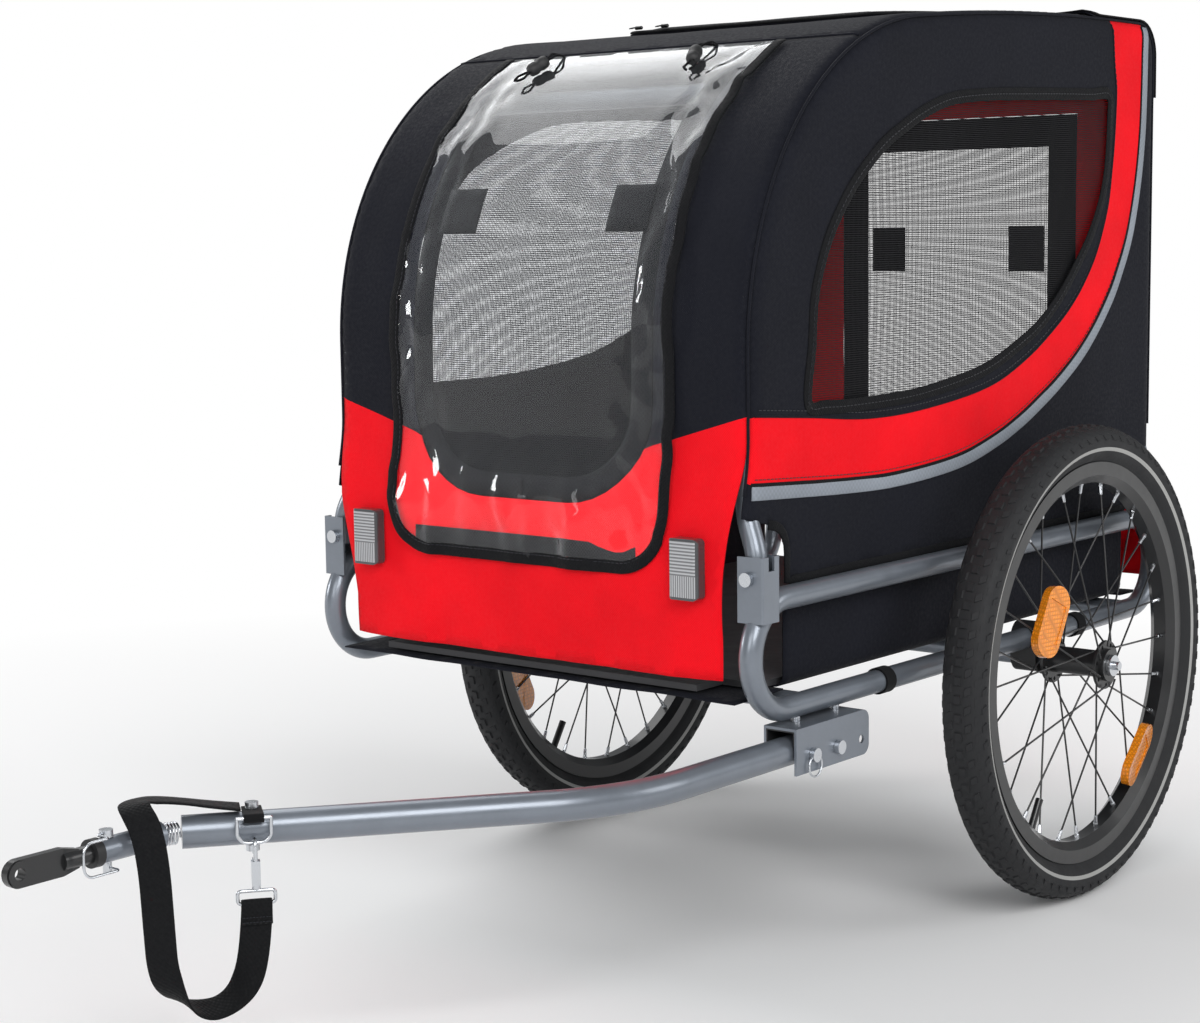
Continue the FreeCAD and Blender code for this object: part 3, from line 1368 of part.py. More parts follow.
def hitch_pin():
    """Pin whose head is bored along the hitch for the wire."""
    half = hitch_tube_diameter / 2
    top = hitch_pin_place + axis_z * (half + seat_gap)
    bore = rod(hitch_point(hitch_pin_run - hitch_pin_head_diameter, 0, bail_top_z),
               hitch_point(hitch_pin_run + hitch_pin_head_diameter, 0, bail_top_z),
               bail_wire + 2 * seat_gap)
    return fuse([rod(hitch_pin_place - axis_z * (half + hitch_pin_tip), top + axis_z * hitch_pin_head,
                     hitch_pin_diameter),
                 rod(top, top + axis_z * hitch_pin_head, hitch_pin_head_diameter)]).cut(bore)


def hitch_bail():
    """Wire that turns in the pin's head and snaps under the pin's tip on the near side."""
    tip_side = hitch_pin_diameter / 2 + seat_gap
    corners = [hitch_point(hitch_pin_run - hitch_pin_head_diameter / 2, 0, bail_top_z),
               hitch_point(hitch_pin_run + bail_pivot_reach, 0, bail_top_z),
               hitch_point(hitch_pin_run + bail_pivot_reach, bail_side, bail_top_z),
               hitch_point(hitch_pin_run + bail_reach, bail_side, bail_top_z),
               hitch_point(hitch_pin_run + bail_reach, bail_side, bail_low_z),
               hitch_point(hitch_pin_run, bail_side, bail_low_z),
               hitch_point(hitch_pin_run, tip_side, bail_low_z)]
    radii = [bail_pivot_bend, bail_pivot_bend, bail_bend, bail_bend, bail_pivot_bend]
    return bent_bar(corners, radii, bail_wire)


# Safety strap
def strap_radii(points):
    """The largest bend that each corner of the route leaves room for."""
    radii = []
    for index in range(1, len(points) - 1):
        into = points[index] - points[index - 1]
        out = points[index + 1] - points[index]
        room = strap_bend_share * min(into.Length, out.Length)
        radii.append(room / math.tan(into.getAngle(out) / 2))
    return radii


def safety_strap():
    points = [vec(bar_end_x, bar_end_y, bar_z) + vec(*place) for place in strap_route]
    radii = strap_radii(points)
    tube = swept_bar(points, radii, strap_diameter)
    length = sum((last - first).Length for first, last in zip(points, points[1:]))
    for bend, radius in zip(bends(points, radii), radii):
        length += radius * bend[4] - 2 * radius * math.tan(bend[4] / 2)
    section = math.pi * (strap_diameter / 2) ** 2
    print("strap: length", round(length, 1), "volume share", round(tube.Volume / (section * length), 4),
          "least bend", round(min(radii), 1), "radii", [round(radius) for radius in radii])
    return tube


# All pieces of the trailer
add_wheel(1, "left", left_inner_degrees, left_outer_degrees)
add_wheel(-1, "right", right_inner_degrees, right_outer_degrees)
axle, button = quick_axle()
nodes["quick_axles"] = [axle, mirrored(axle)]
nodes["release_button_left"] = [button]
nodes["release_button_right"] = [mirrored(button)]
loop = side_loop()
nodes["side_loop_left"] = [loop]
nodes["side_loop_right"] = [mirrored(loop)]
nodes["cross_tubes"] = [cross_tube(cross_front_y), cross_tube(cross_rear_y)]
nodes["axle_tube"] = [axle_tube()]
carrier = axle_carrier()
nodes["axle_carriers"] = [carrier, mirrored(carrier)]
left_rear_y = rear_leg_y
right_rear_y = rear_leg_y - right_leg_stagger
nodes["hoop_brackets"] = [hoop_bracket(front_bracket_y), mirrored(hoop_bracket(front_bracket_y)),
                          hoop_bracket(left_rear_y), mirrored(hoop_bracket(right_rear_y))]
nodes["hoop_bolts"] = [hoop_bolt(front_bracket_y), mirrored(hoop_bolt(front_bracket_y)),
                       hoop_bolt(left_rear_y), mirrored(hoop_bolt(right_rear_y))]
nodes["hoop_left"] = [hoop(left_rear_y)]
nodes["hoop_right"] = [mirrored(hoop(right_rear_y))]
nodes["spreader_bars"] = spreader_bars()

nodes["front_panel"] = [front_panel()]
nodes["front_door_border"] = [front_door()[0]]
nodes["front_door_mesh"] = [front_door()[1]]
nodes["rain_cover"] = [rain_cover()]
nodes["roof_panel"] = [roof_panel()]
nodes["roof_hatch"] = [roof_hatch()]
nodes["rear_flap"] = [rear_flap()]
nodes["rear_panel"] = [rear_panel()]
nodes["rear_door_border"] = [rear_door()[0]]
nodes["rear_door_mesh"] = [rear_door()[1]]
panel = side_panel()
nodes["side_panel_left"] = [panel]
nodes["side_panel_right"] = [mirrored(panel)]
mesh = window_mesh()
nodes["window_meshes"] = [mesh, mirrored(mesh)]
nodes["floor_tub"] = [floor_tub()]
nodes["floor_board"] = [floor_board()]
nodes["rail_webbing"] = []
for webbing_y in webbing_places_y:
    loop_strap = rail_webbing(webbing_y)
    nodes["rail_webbing"] += [loop_strap, mirrored(loop_strap)]
nodes["front_reflectors"] = [lamp(side, lamp_z, front_foot_y, -1) for side in (-1, 1)]
nodes["rear_reflectors"] = [lamp(side, rear_lamp_z, cabin_rear_y, 1) for side in (-1, 1)]

nodes["tow_bracket"] = [tow_bracket()]
nodes["tow_liner"] = [tow_liner_piece()]
nodes["tow_spacers"] = tow_spacers()
nodes["tow_bolt"] = [tow_bolt()]
nodes["lock_pin"] = [lock_pin()]
nodes["tow_bar"] = [tow_bar()]
nodes["strap_bolt"] = [strap_bolt()]
nodes["ring_tab"] = [ring_tab()]
nodes["d_ring"] = [d_ring()]
nodes["snap_hook"] = [snap_hook(), strap_ring()]
nodes["snap_gate"] = [snap_gate()]
nodes["safety_strap"] = [safety_strap()]
nodes["coupling_spring"] = [coupling_spring()]
nodes["hitch_tube"] = [hitch_tube()]
nodes["hitch_cap"] = [hitch_cap()]
nodes["hitch_rod"] = [hitch_rod()]
nodes["hitch_pin"] = [hitch_pin()]
nodes["hitch_bail"] = [hitch_bail()]

# The origin is the bottom centre of the trailer, from the hitch's nose to the rear reflectors
nose_y = hitch_point(eye_run + eye_plate_width / 2).y
tail_y = cabin_rear_y + seat_gap + lamp_depth
frame_shift = vec(0, -(nose_y + tail_y) / 2, wheel_radius - axle_z)
print("shift of the frame along Y", round(frame_shift.y, 3))

os.makedirs("parts", exist_ok=True)
for name, solids in nodes.items():
    shape = Part.makeCompound(solids) if len(solids) > 1 else solids[0]
    shape.translate(frame_shift)
    shape.exportStep("parts/" + name + ".step")
    count = len(shape.Solids)
    print(name, "solids", count, "valid", shape.isValid(), "volume", round(shape.Volume))
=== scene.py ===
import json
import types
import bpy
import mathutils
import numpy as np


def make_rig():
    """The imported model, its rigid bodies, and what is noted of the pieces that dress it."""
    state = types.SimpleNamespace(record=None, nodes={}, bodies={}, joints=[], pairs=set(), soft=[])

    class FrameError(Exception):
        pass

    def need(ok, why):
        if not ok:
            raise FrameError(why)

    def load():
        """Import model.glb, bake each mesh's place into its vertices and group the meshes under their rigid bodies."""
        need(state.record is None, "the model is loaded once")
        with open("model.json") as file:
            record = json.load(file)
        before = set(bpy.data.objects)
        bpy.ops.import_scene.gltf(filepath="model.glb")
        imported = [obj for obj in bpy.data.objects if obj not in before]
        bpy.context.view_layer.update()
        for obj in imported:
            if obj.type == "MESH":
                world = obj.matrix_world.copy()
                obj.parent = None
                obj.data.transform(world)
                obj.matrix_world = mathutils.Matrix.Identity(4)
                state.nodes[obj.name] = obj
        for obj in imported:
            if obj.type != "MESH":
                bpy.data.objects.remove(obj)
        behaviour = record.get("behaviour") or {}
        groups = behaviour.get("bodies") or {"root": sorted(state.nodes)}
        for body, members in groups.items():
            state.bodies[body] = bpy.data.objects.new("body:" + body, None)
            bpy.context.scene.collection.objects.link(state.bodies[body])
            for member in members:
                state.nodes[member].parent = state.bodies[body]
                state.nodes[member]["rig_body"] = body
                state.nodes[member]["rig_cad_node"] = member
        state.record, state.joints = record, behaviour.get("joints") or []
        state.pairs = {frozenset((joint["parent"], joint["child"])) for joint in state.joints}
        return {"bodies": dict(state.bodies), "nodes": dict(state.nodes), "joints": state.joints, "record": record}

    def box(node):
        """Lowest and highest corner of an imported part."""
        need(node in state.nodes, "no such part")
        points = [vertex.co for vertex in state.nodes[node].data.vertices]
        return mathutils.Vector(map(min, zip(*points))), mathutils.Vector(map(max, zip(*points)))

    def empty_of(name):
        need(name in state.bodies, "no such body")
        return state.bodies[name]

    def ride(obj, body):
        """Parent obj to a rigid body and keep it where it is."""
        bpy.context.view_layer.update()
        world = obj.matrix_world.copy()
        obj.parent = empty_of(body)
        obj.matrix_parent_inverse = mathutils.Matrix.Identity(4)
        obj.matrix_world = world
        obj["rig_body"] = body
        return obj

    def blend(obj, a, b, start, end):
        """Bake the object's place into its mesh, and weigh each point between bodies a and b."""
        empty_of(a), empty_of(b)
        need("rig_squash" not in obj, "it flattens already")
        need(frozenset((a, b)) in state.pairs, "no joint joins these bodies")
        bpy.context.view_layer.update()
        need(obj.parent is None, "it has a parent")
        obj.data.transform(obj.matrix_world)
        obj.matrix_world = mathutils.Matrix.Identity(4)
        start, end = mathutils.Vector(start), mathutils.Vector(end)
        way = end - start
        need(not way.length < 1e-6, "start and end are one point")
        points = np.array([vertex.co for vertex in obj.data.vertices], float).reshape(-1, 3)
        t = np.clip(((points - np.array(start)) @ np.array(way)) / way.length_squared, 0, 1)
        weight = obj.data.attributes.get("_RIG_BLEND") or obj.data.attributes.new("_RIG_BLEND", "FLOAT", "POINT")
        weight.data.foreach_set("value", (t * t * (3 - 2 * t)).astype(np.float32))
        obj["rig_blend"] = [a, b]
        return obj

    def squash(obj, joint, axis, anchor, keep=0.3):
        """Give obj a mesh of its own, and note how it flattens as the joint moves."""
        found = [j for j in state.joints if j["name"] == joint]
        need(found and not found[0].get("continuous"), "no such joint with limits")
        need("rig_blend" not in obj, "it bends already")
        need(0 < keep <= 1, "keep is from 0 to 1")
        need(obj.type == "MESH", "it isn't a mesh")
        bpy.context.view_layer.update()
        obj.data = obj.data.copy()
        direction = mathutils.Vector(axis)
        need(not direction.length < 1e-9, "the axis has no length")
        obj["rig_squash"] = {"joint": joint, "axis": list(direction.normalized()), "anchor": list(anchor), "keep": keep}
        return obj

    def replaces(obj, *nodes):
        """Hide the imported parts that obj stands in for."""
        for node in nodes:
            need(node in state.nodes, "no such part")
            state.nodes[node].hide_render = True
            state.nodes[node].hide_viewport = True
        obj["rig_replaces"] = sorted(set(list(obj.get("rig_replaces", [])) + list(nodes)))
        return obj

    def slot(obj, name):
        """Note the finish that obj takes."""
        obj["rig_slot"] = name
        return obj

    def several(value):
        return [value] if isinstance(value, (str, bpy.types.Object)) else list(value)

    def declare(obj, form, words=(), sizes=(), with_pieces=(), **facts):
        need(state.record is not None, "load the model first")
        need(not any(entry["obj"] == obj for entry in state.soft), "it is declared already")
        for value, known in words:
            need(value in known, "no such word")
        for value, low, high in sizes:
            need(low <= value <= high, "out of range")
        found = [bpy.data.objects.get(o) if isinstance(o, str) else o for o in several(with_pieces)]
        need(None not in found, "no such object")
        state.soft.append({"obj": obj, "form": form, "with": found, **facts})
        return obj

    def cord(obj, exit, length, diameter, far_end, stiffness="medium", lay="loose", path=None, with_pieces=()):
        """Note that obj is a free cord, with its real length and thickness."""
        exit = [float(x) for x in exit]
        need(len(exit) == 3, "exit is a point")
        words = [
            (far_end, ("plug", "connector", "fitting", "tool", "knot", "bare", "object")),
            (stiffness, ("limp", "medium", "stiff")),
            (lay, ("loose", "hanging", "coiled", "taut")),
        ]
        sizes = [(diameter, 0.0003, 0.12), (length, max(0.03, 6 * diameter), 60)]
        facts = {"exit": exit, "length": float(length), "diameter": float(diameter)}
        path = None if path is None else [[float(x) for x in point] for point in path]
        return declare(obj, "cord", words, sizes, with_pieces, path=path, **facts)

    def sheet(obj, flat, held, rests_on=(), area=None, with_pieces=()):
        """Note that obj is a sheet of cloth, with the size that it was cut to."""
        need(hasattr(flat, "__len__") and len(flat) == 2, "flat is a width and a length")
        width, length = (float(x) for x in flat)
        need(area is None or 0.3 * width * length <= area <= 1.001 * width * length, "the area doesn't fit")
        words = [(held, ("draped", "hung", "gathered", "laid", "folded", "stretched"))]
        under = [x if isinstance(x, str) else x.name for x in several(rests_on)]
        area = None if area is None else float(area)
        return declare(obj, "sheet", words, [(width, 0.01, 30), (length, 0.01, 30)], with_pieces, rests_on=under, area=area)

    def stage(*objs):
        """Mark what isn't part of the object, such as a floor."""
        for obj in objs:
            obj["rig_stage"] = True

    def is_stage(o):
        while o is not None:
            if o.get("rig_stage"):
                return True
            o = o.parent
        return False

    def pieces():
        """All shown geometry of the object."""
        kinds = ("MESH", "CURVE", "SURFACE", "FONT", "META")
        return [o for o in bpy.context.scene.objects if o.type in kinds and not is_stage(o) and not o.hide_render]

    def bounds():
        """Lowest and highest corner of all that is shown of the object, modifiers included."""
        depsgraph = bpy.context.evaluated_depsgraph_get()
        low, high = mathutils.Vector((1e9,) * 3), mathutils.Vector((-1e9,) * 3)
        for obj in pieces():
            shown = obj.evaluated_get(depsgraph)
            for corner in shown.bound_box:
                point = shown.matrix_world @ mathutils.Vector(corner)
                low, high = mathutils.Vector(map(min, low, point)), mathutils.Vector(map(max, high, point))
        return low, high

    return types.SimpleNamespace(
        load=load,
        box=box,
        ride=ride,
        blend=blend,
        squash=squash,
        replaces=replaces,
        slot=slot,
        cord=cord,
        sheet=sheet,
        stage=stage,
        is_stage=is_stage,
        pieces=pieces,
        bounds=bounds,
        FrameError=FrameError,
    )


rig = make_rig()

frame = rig.load()
cad_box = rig.bounds()

import json
import math

import bmesh
import bpy
import numpy as np
from mathutils import Matrix, Vector, noise
from mathutils.geometry import delaunay_2d_cdt

# Sizes are in millimetres from the ground under the middle of the axle; at() and set_down() make them metres
MM = 0.001
axle_low, axle_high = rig.box("axle_tube")
AXLE_Y = (axle_low.y + axle_high.y) / 2
AXLE_Z = 250.0
SIDES = ((1, "left"), (-1, "right"))
QUARTER = math.pi / 2
scene = bpy.context.scene


def at(x, y, z):
    """A place in the frame, in metres."""
    return Vector((x * MM, y * MM + AXLE_Y, z * MM))


def set_down(x, y, z):
    """Rows of places in the frame, in metres."""
    return np.stack([x * MM, y * MM + AXLE_Y, z * MM], 1)


def places_of(line):
    """A line in millimetres as places in the frame."""
    return np.array([tuple(at(*p)) for p in line])


def unit(rows):
    return rows / np.linalg.norm(rows, axis=1)[:, None]


def runs(line):
    """The length of a line up to each of its points."""
    return np.concatenate([[0], np.cumsum(np.linalg.norm(np.diff(line, axis=0), axis=1))])


def show(name, data):
    """A new object of the scene that holds the data."""
    made = bpy.data.objects.new(name, data)
    scene.collection.objects.link(made)
    return made


# ---------------------------------------------------------------- materials
def add_node(tree, kind, **settings):
    made = tree.nodes.new(kind)
    for name, value in settings.items():
        setattr(made, name, value)
    return made


def put(tree, socket, value):
    """Links a socket to another, or sets its value."""
    if isinstance(value, bpy.types.NodeSocket):
        tree.links.new(value, socket)
    else:
        socket.default_value = value


def fill(tree, node, **values):
    """Links or sets a node's inputs by name, with _ for each space."""
    for name, value in values.items():
        put(tree, node.inputs[name.replace("_", " ")], value)
    return node


def math_node(tree, operation, *values):
    made = add_node(tree, "ShaderNodeMath", operation=operation)
    for socket, value in zip(made.inputs, values):
        put(tree, socket, value)
    return made.outputs[0]


def mix_colour(tree, share, first, second):
    made = add_node(tree, "ShaderNodeMix", data_type="RGBA")
    for index, value in ((0, share), (6, first), (7, second)):
        put(tree, made.inputs[index], value)
    return made.outputs[2]


def mix_shader(tree, share, first, second, output):
    """Two shaders mixed into the tree's output."""
    mixed = add_node(tree, "ShaderNodeMixShader")
    for socket, value in zip(mixed.inputs, (share, first, second)):
        put(tree, socket, value)
    put(tree, tree.nodes[output].inputs["Surface"], mixed.outputs[0])


def spread(tree, *values):
    """A value, its low and high end, and what these become."""
    made = add_node(tree, "ShaderNodeMapRange")
    for socket, value in zip(made.inputs, values):
        put(tree, socket, value)
    return made.outputs[0]


def noise_node(tree, place, scale, detail=3.0, rough=0.55):
    made = add_node(tree, "ShaderNodeTexNoise")
    return fill(tree, made, Vector=place, Scale=scale, Detail=detail, Roughness=rough).outputs["Fac"]


def coordinates(tree, kind):
    return add_node(tree, "ShaderNodeTexCoord").outputs[kind]


def split_place(tree, place):
    made = add_node(tree, "ShaderNodeSeparateXYZ")
    put(tree, made.inputs[0], place)
    return made.outputs


def saw(tree, value, pitch):
    """0 in the middle of each step along a value, and 0.5 at its ends."""
    step = math_node(tree, "FRACT", math_node(tree, "DIVIDE", value, pitch))
    return math_node(tree, "ABSOLUTE", math_node(tree, "SUBTRACT", step, 0.5))


def new_group(name, kind, inputs, outputs):
    """A node group with its sockets, and what comes in and goes out."""
    group = bpy.data.node_groups.new(name, kind)
    for socket, form, value in inputs:
        made = group.interface.new_socket(socket, in_out="INPUT", socket_type="NodeSocket" + form)
        if value is not None:
            made.default_value = value
    for socket, form in outputs:
        group.interface.new_socket(socket, in_out="OUTPUT", socket_type="NodeSocket" + form)
    return group, group.nodes.new("NodeGroupInput").outputs, group.nodes.new("NodeGroupOutput").inputs


def weave_group():
    """Plain weave: threads over and under each other, with slubs, painted shade between the threads and a slow change
    of tone.
    """
    group, entry, out = new_group("woven threads", "ShaderNodeTree", [
        ("Place", "Vector", None), ("Pitch", "Float", 0.0012), ("Tone Low", "Float", 0.85),
        ("Tone High", "Float", 1.12)], [("Height", "Float"), ("Tone", "Float"), ("Gloss", "Float")])
    turns = math_node(group, "DIVIDE", math.pi, entry["Pitch"])
    across, along = (math_node(group, "SINE", math_node(group, "MULTIPLY", axis, turns))
                     for axis in list(split_place(group, entry["Place"]))[:2])
    threads = math_node(group, "MULTIPLY", across, along)
    slub = noise_node(group, entry["Place"], 260.0, 2.0)
    cloudy = noise_node(group, entry["Place"], 7.0, 4.0)
    # Tone: painted shade between the raised threads, over a slow random change of tone from the cloudy noise.
    thread_shade_and_tone = math_node(group, "MULTIPLY_ADD", threads, 0.12, cloudy)
    put(group, out["Height"], math_node(group, "MULTIPLY_ADD", threads, 0.5, slub))
    put(group, out["Tone"], spread(group, thread_shade_and_tone, 0.3, 0.7, entry["Tone Low"], entry["Tone High"]))
    put(group, out["Gloss"], spread(group, slub, 0.3, 0.7, 0.62, 0.86))
    return group


def wear_group():
    """Fine grain, handling marks and dust for paint, metal and plastic."""
    group, entry, out = new_group("grain and wear", "ShaderNodeTree", [
        ("Place", "Vector", None), ("Grain", "Float", 900.0), ("Rough Low", "Float", 0.28),
        ("Rough High", "Float", 0.42)], [("Height", "Float"), ("Tone", "Float"), ("Rough", "Float")])
    fine = noise_node(group, entry["Place"], entry["Grain"], 2.0)
    marks = noise_node(group, entry["Place"], 34.0, 6.0, 0.7)
    put(group, out["Height"], fine)
    put(group, out["Tone"], spread(group, marks, 0.3, 0.75, 0.92, 1.06))
    put(group, out["Rough"], spread(group, marks, 0.3, 0.7, entry["Rough Low"], entry["Rough High"]))
    return group


WEAVE = weave_group()
WEAR = wear_group()


def new_material(name, **values):
    """A material, its tree, and its Principled shader with the values."""
    made = bpy.data.materials.new(name)
    made.use_nodes = True
    tree = made.node_tree
    return made, tree, fill(tree, tree.nodes["Principled BSDF"], **values)


def use_group(tree, group, place, **values):
    made = add_node(tree, "ShaderNodeGroup", node_tree=group)
    return fill(tree, made, Place=place, **values).outputs


def toned(tree, colour, tone):
    """A colour made lighter and darker by a tone around 1."""
    made = add_node(tree, "ShaderNodeVectorMath", operation="SCALE")
    made.inputs[0].default_value = colour
    return fill(tree, made, Scale=tone).outputs[0]


def bumped(tree, shader, height, strength, distance):
    made = fill(tree, add_node(tree, "ShaderNodeBump"), Strength=strength, Distance=distance, Height=height)
    put(tree, shader.inputs["Normal"], made.outputs[0])


def woven_cloth(name, colour, pitch=0.0012, sheen=0.25, strength=0.35):
    made, tree, shader = new_material(name, Sheen_Weight=sheen, Sheen_Roughness=0.45, Specular_IOR_Level=0.1)
    weave = use_group(tree, WEAVE, coordinates(tree, "UV"), Pitch=pitch)
    fill(tree, shader, Base_Color=toned(tree, colour, weave["Tone"]), Roughness=weave["Gloss"])
    bumped(tree, shader, weave["Height"], strength, 0.0004)
    return made


def worn_finish(name, colour, metal, low, high, grain, strength, coat=0.0):
    made, tree, shader = new_material(name, Metallic=metal, Coat_Weight=coat, Coat_Roughness=0.12)
    wear = use_group(tree, WEAR, coordinates(tree, "Object"), Grain=grain, Rough_Low=low, Rough_High=high)
    fill(tree, shader, Base_Color=toned(tree, colour, wear["Tone"]), Roughness=wear["Rough"])
    bumped(tree, shader, wear["Height"], strength, 0.0002)
    return made


def open_mesh(name, colour, pitch, thread):
    """Knitted net: square holes between threads, cut out by alpha."""
    made, tree, shader = new_material(name, Roughness=0.6, Specular_IOR_Level=0.1)
    place = coordinates(tree, "UV")
    lines = [math_node(tree, "LESS_THAN", saw(tree, axis, pitch), thread / pitch / 2)
             for axis in list(split_place(tree, place))[:2]]
    weave = use_group(tree, WEAVE, place, Pitch=pitch / 2)
    fill(tree, shader, Base_Color=toned(tree, colour, weave["Tone"]),
         Alpha=math_node(tree, "MAXIMUM", *lines))
    return made


def clear_sheet(name):
    """Clear vinyl, whose shadow is let through."""
    made, tree, shader = new_material(name, Base_Color=(0.93, 0.95, 0.97, 1), Transmission_Weight=1.0,
                                      Roughness=0.0, IOR=1.32)
    bumped(tree, shader, noise_node(tree, coordinates(tree, "UV"), 26.0), 0.025, 0.002)
    through = fill(tree, add_node(tree, "ShaderNodeBsdfTransparent"), Color=(0.9, 0.91, 0.92, 1))
    light = add_node(tree, "ShaderNodeLightPath")
    mix_shader(tree, light.outputs["Is Shadow Ray"], shader.outputs[0], through.outputs[0], "Material Output")
    return made


def prism_lens(name, colour, cell, see_through):
    """Moulded reflector lens with rows of small pyramids behind its face, their glint and shade painted into its
    colour.
    """
    made, tree, shader = new_material(name, Roughness=0.12, Coat_Weight=0.6, Subsurface_Weight=see_through,
                                      Subsurface_Radius=(0.004, 0.003, 0.002))
    place = fill(tree, add_node(tree, "ShaderNodeMapping"), Vector=coordinates(tree, "Object"),
                 Rotation=(0, 0, 0.35))
    x, y, z = split_place(tree, place.outputs[0])
    first, second, third = (saw(tree, axis, cell * slant) for axis, slant in ((y, 0.6), (z, 1.0), (x, 0.8)))
    height = math_node(tree, "MAXIMUM", math_node(tree, "MAXIMUM", first, second), third)
    # The tone, light in the middle of each cell and dark at its ridges, is painted glint and shade of the pyramids.
    fill(tree, shader, Base_Color=toned(tree, colour, spread(tree, height, 0.1, 0.5, 1.15, 0.6)))
    bumped(tree, shader, height, 0.5, 0.001)
    return made


def ribbed_lens(name, colour, node):
    """Reflectors with level ribs above and upright ones below, with painted highlight and shade on the ribs, each in a
    dark case.
    """
    lamp_half, case_wide, case_high, skin = 16.5 * MM, 2.0 * MM, 2.5 * MM, 1.0 * MM
    level_pitch, upright_pitch, ribs_meet = 3.1 * MM, 2.5 * MM, -6.0 * MM
    made, tree, shader = new_material(name, Roughness=0.2, Coat_Weight=0.4)
    low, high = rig.box(node)
    x, y, z = split_place(tree, coordinates(tree, "Object"))
    off = math_node(tree, "SUBTRACT", math_node(tree, "ABSOLUTE", x), high.x - lamp_half)
    rise = math_node(tree, "SUBTRACT", z, (low.z + high.z) / 2)
    upper = math_node(tree, "GREATER_THAN", rise, ribs_meet)
    level = math_node(tree, "MULTIPLY", saw(tree, z, level_pitch), upper)
    lower = math_node(tree, "SUBTRACT", 1.0, upper)
    height = math_node(tree, "ADD", level, math_node(tree, "MULTIPLY", saw(tree, x, upright_pitch), lower))
    face = math_node(tree, "LESS_THAN", y, low.y + skin)
    for away, reach in ((off, lamp_half - case_wide), (rise, (high.z - low.z) / 2 - case_high)):
        within = math_node(tree, "LESS_THAN", math_node(tree, "ABSOLUTE", away), reach)
        face = math_node(tree, "MULTIPLY", face, within)
    # The ribs' tone, light along the middle of each rib and dark where ribs meet, is painted highlight and shade; the
    # case round each lens keeps its own dark colour.
    painted_rib_light = toned(tree, colour, spread(tree, height, 0.1, 0.42, 1.2, 0.35))
    fill(tree, shader, Base_Color=mix_colour(tree, face, (0.05, 0.052, 0.056, 1), painted_rib_light))
    bumped(tree, shader, height, 0.4, 0.001)
    return made


def tyre_finish():
    """Rubber with a pale reflective ring on each wall, found from the distance to the axle."""
    stripe_radius, stripe_half = 224.6 * MM, 1.9 * MM
    made, tree, shader = new_material("tyre rubber", Specular_IOR_Level=0.28)
    place = coordinates(tree, "Object")
    wear = use_group(tree, WEAR, place, Grain=420.0, Rough_Low=0.55, Rough_High=0.8)
    _, y, z = split_place(tree, place)
    back = math_node(tree, "SUBTRACT", y, AXLE_Y)
    up = math_node(tree, "SUBTRACT", z, AXLE_Z * MM)
    squares = (math_node(tree, "MULTIPLY", reach, reach) for reach in (back, up))
    radius = math_node(tree, "SQRT", math_node(tree, "ADD", *squares))
    off = math_node(tree, "ABSOLUTE", math_node(tree, "SUBTRACT", radius, stripe_radius))
    stripe = math_node(tree, "LESS_THAN", off, stripe_half)
    rubber = toned(tree, (0.019, 0.0195, 0.021), wear["Tone"])
    fill(tree, shader, Base_Color=mix_colour(tree, stripe, rubber, (0.34, 0.34, 0.33, 1)),
         Roughness=wear["Rough"])
    rings = math_node(tree, "SINE", math_node(tree, "MULTIPLY", radius, 2600.0))
    bumped(tree, shader, math_node(tree, "MULTIPLY_ADD", rings, 0.25, wear["Height"]), 0.25, 0.0004)
    return made


NAVY = woven_cloth("navy cloth", (0.0075, 0.0082, 0.0128), sheen=0.03)
# A near-black cloth on the inner faces of the front and side panels, darker than their outer colour.
INNER_FACE_CLOTH = woven_cloth("dark inner face", (0.006, 0.006, 0.007), sheen=0.0)
RED = woven_cloth("red cloth", (0.80, 0.004, 0.011), sheen=0.02)
BORDER = woven_cloth("door cloth", (0.010, 0.0102, 0.0115), pitch=0.0024, strength=0.7, sheen=0.03)
TAPE = woven_cloth("binding tape", (0.0065, 0.0067, 0.0078), pitch=0.0018, strength=0.6, sheen=0.03)
WEBBING = woven_cloth("webbing", (0.0065, 0.0067, 0.0075), pitch=0.0022, strength=0.9, sheen=0.06)
PIPING = woven_cloth("reflective piping", (0.24, 0.265, 0.30), pitch=0.003, strength=0.25, sheen=0.05)
THREAD = woven_cloth("dark thread", (0.02, 0.021, 0.026), pitch=0.0004)
NET = open_mesh("mesh net", (0.016, 0.016, 0.018), 0.0021, 0.00056)
VINYL = clear_sheet("clear vinyl")
PAINT = worn_finish("silver grey paint", (0.19, 0.212, 0.245), 0.55, 0.3, 0.4, 1400.0, 0.05, 0.3)
ZINC = worn_finish("zinc plating", (0.60, 0.62, 0.65), 1.0, 0.2, 0.34, 700.0, 0.06)
BLACK_PAINT = worn_finish("black paint", (0.011, 0.0112, 0.012), 0.0, 0.3, 0.42, 1100.0, 0.08, 0.25)
PLASTIC = worn_finish("moulded plastic", (0.014, 0.0142, 0.015), 0.0, 0.48, 0.62, 600.0, 0.2)
BOARD = worn_finish("floor board", (0.05, 0.05, 0.054), 0.0, 0.55, 0.7, 300.0, 0.3)
RUBBER = tyre_finish()
AMBER = prism_lens("amber lens", (0.95, 0.30, 0.012), 0.0042, 0.25)
CLEAR_LENS = ribbed_lens("clear lens", (0.36, 0.365, 0.38), "front_reflectors")
RED_LENS = prism_lens("red lens", (0.62, 0.012, 0.012), 0.0042, 0.2)


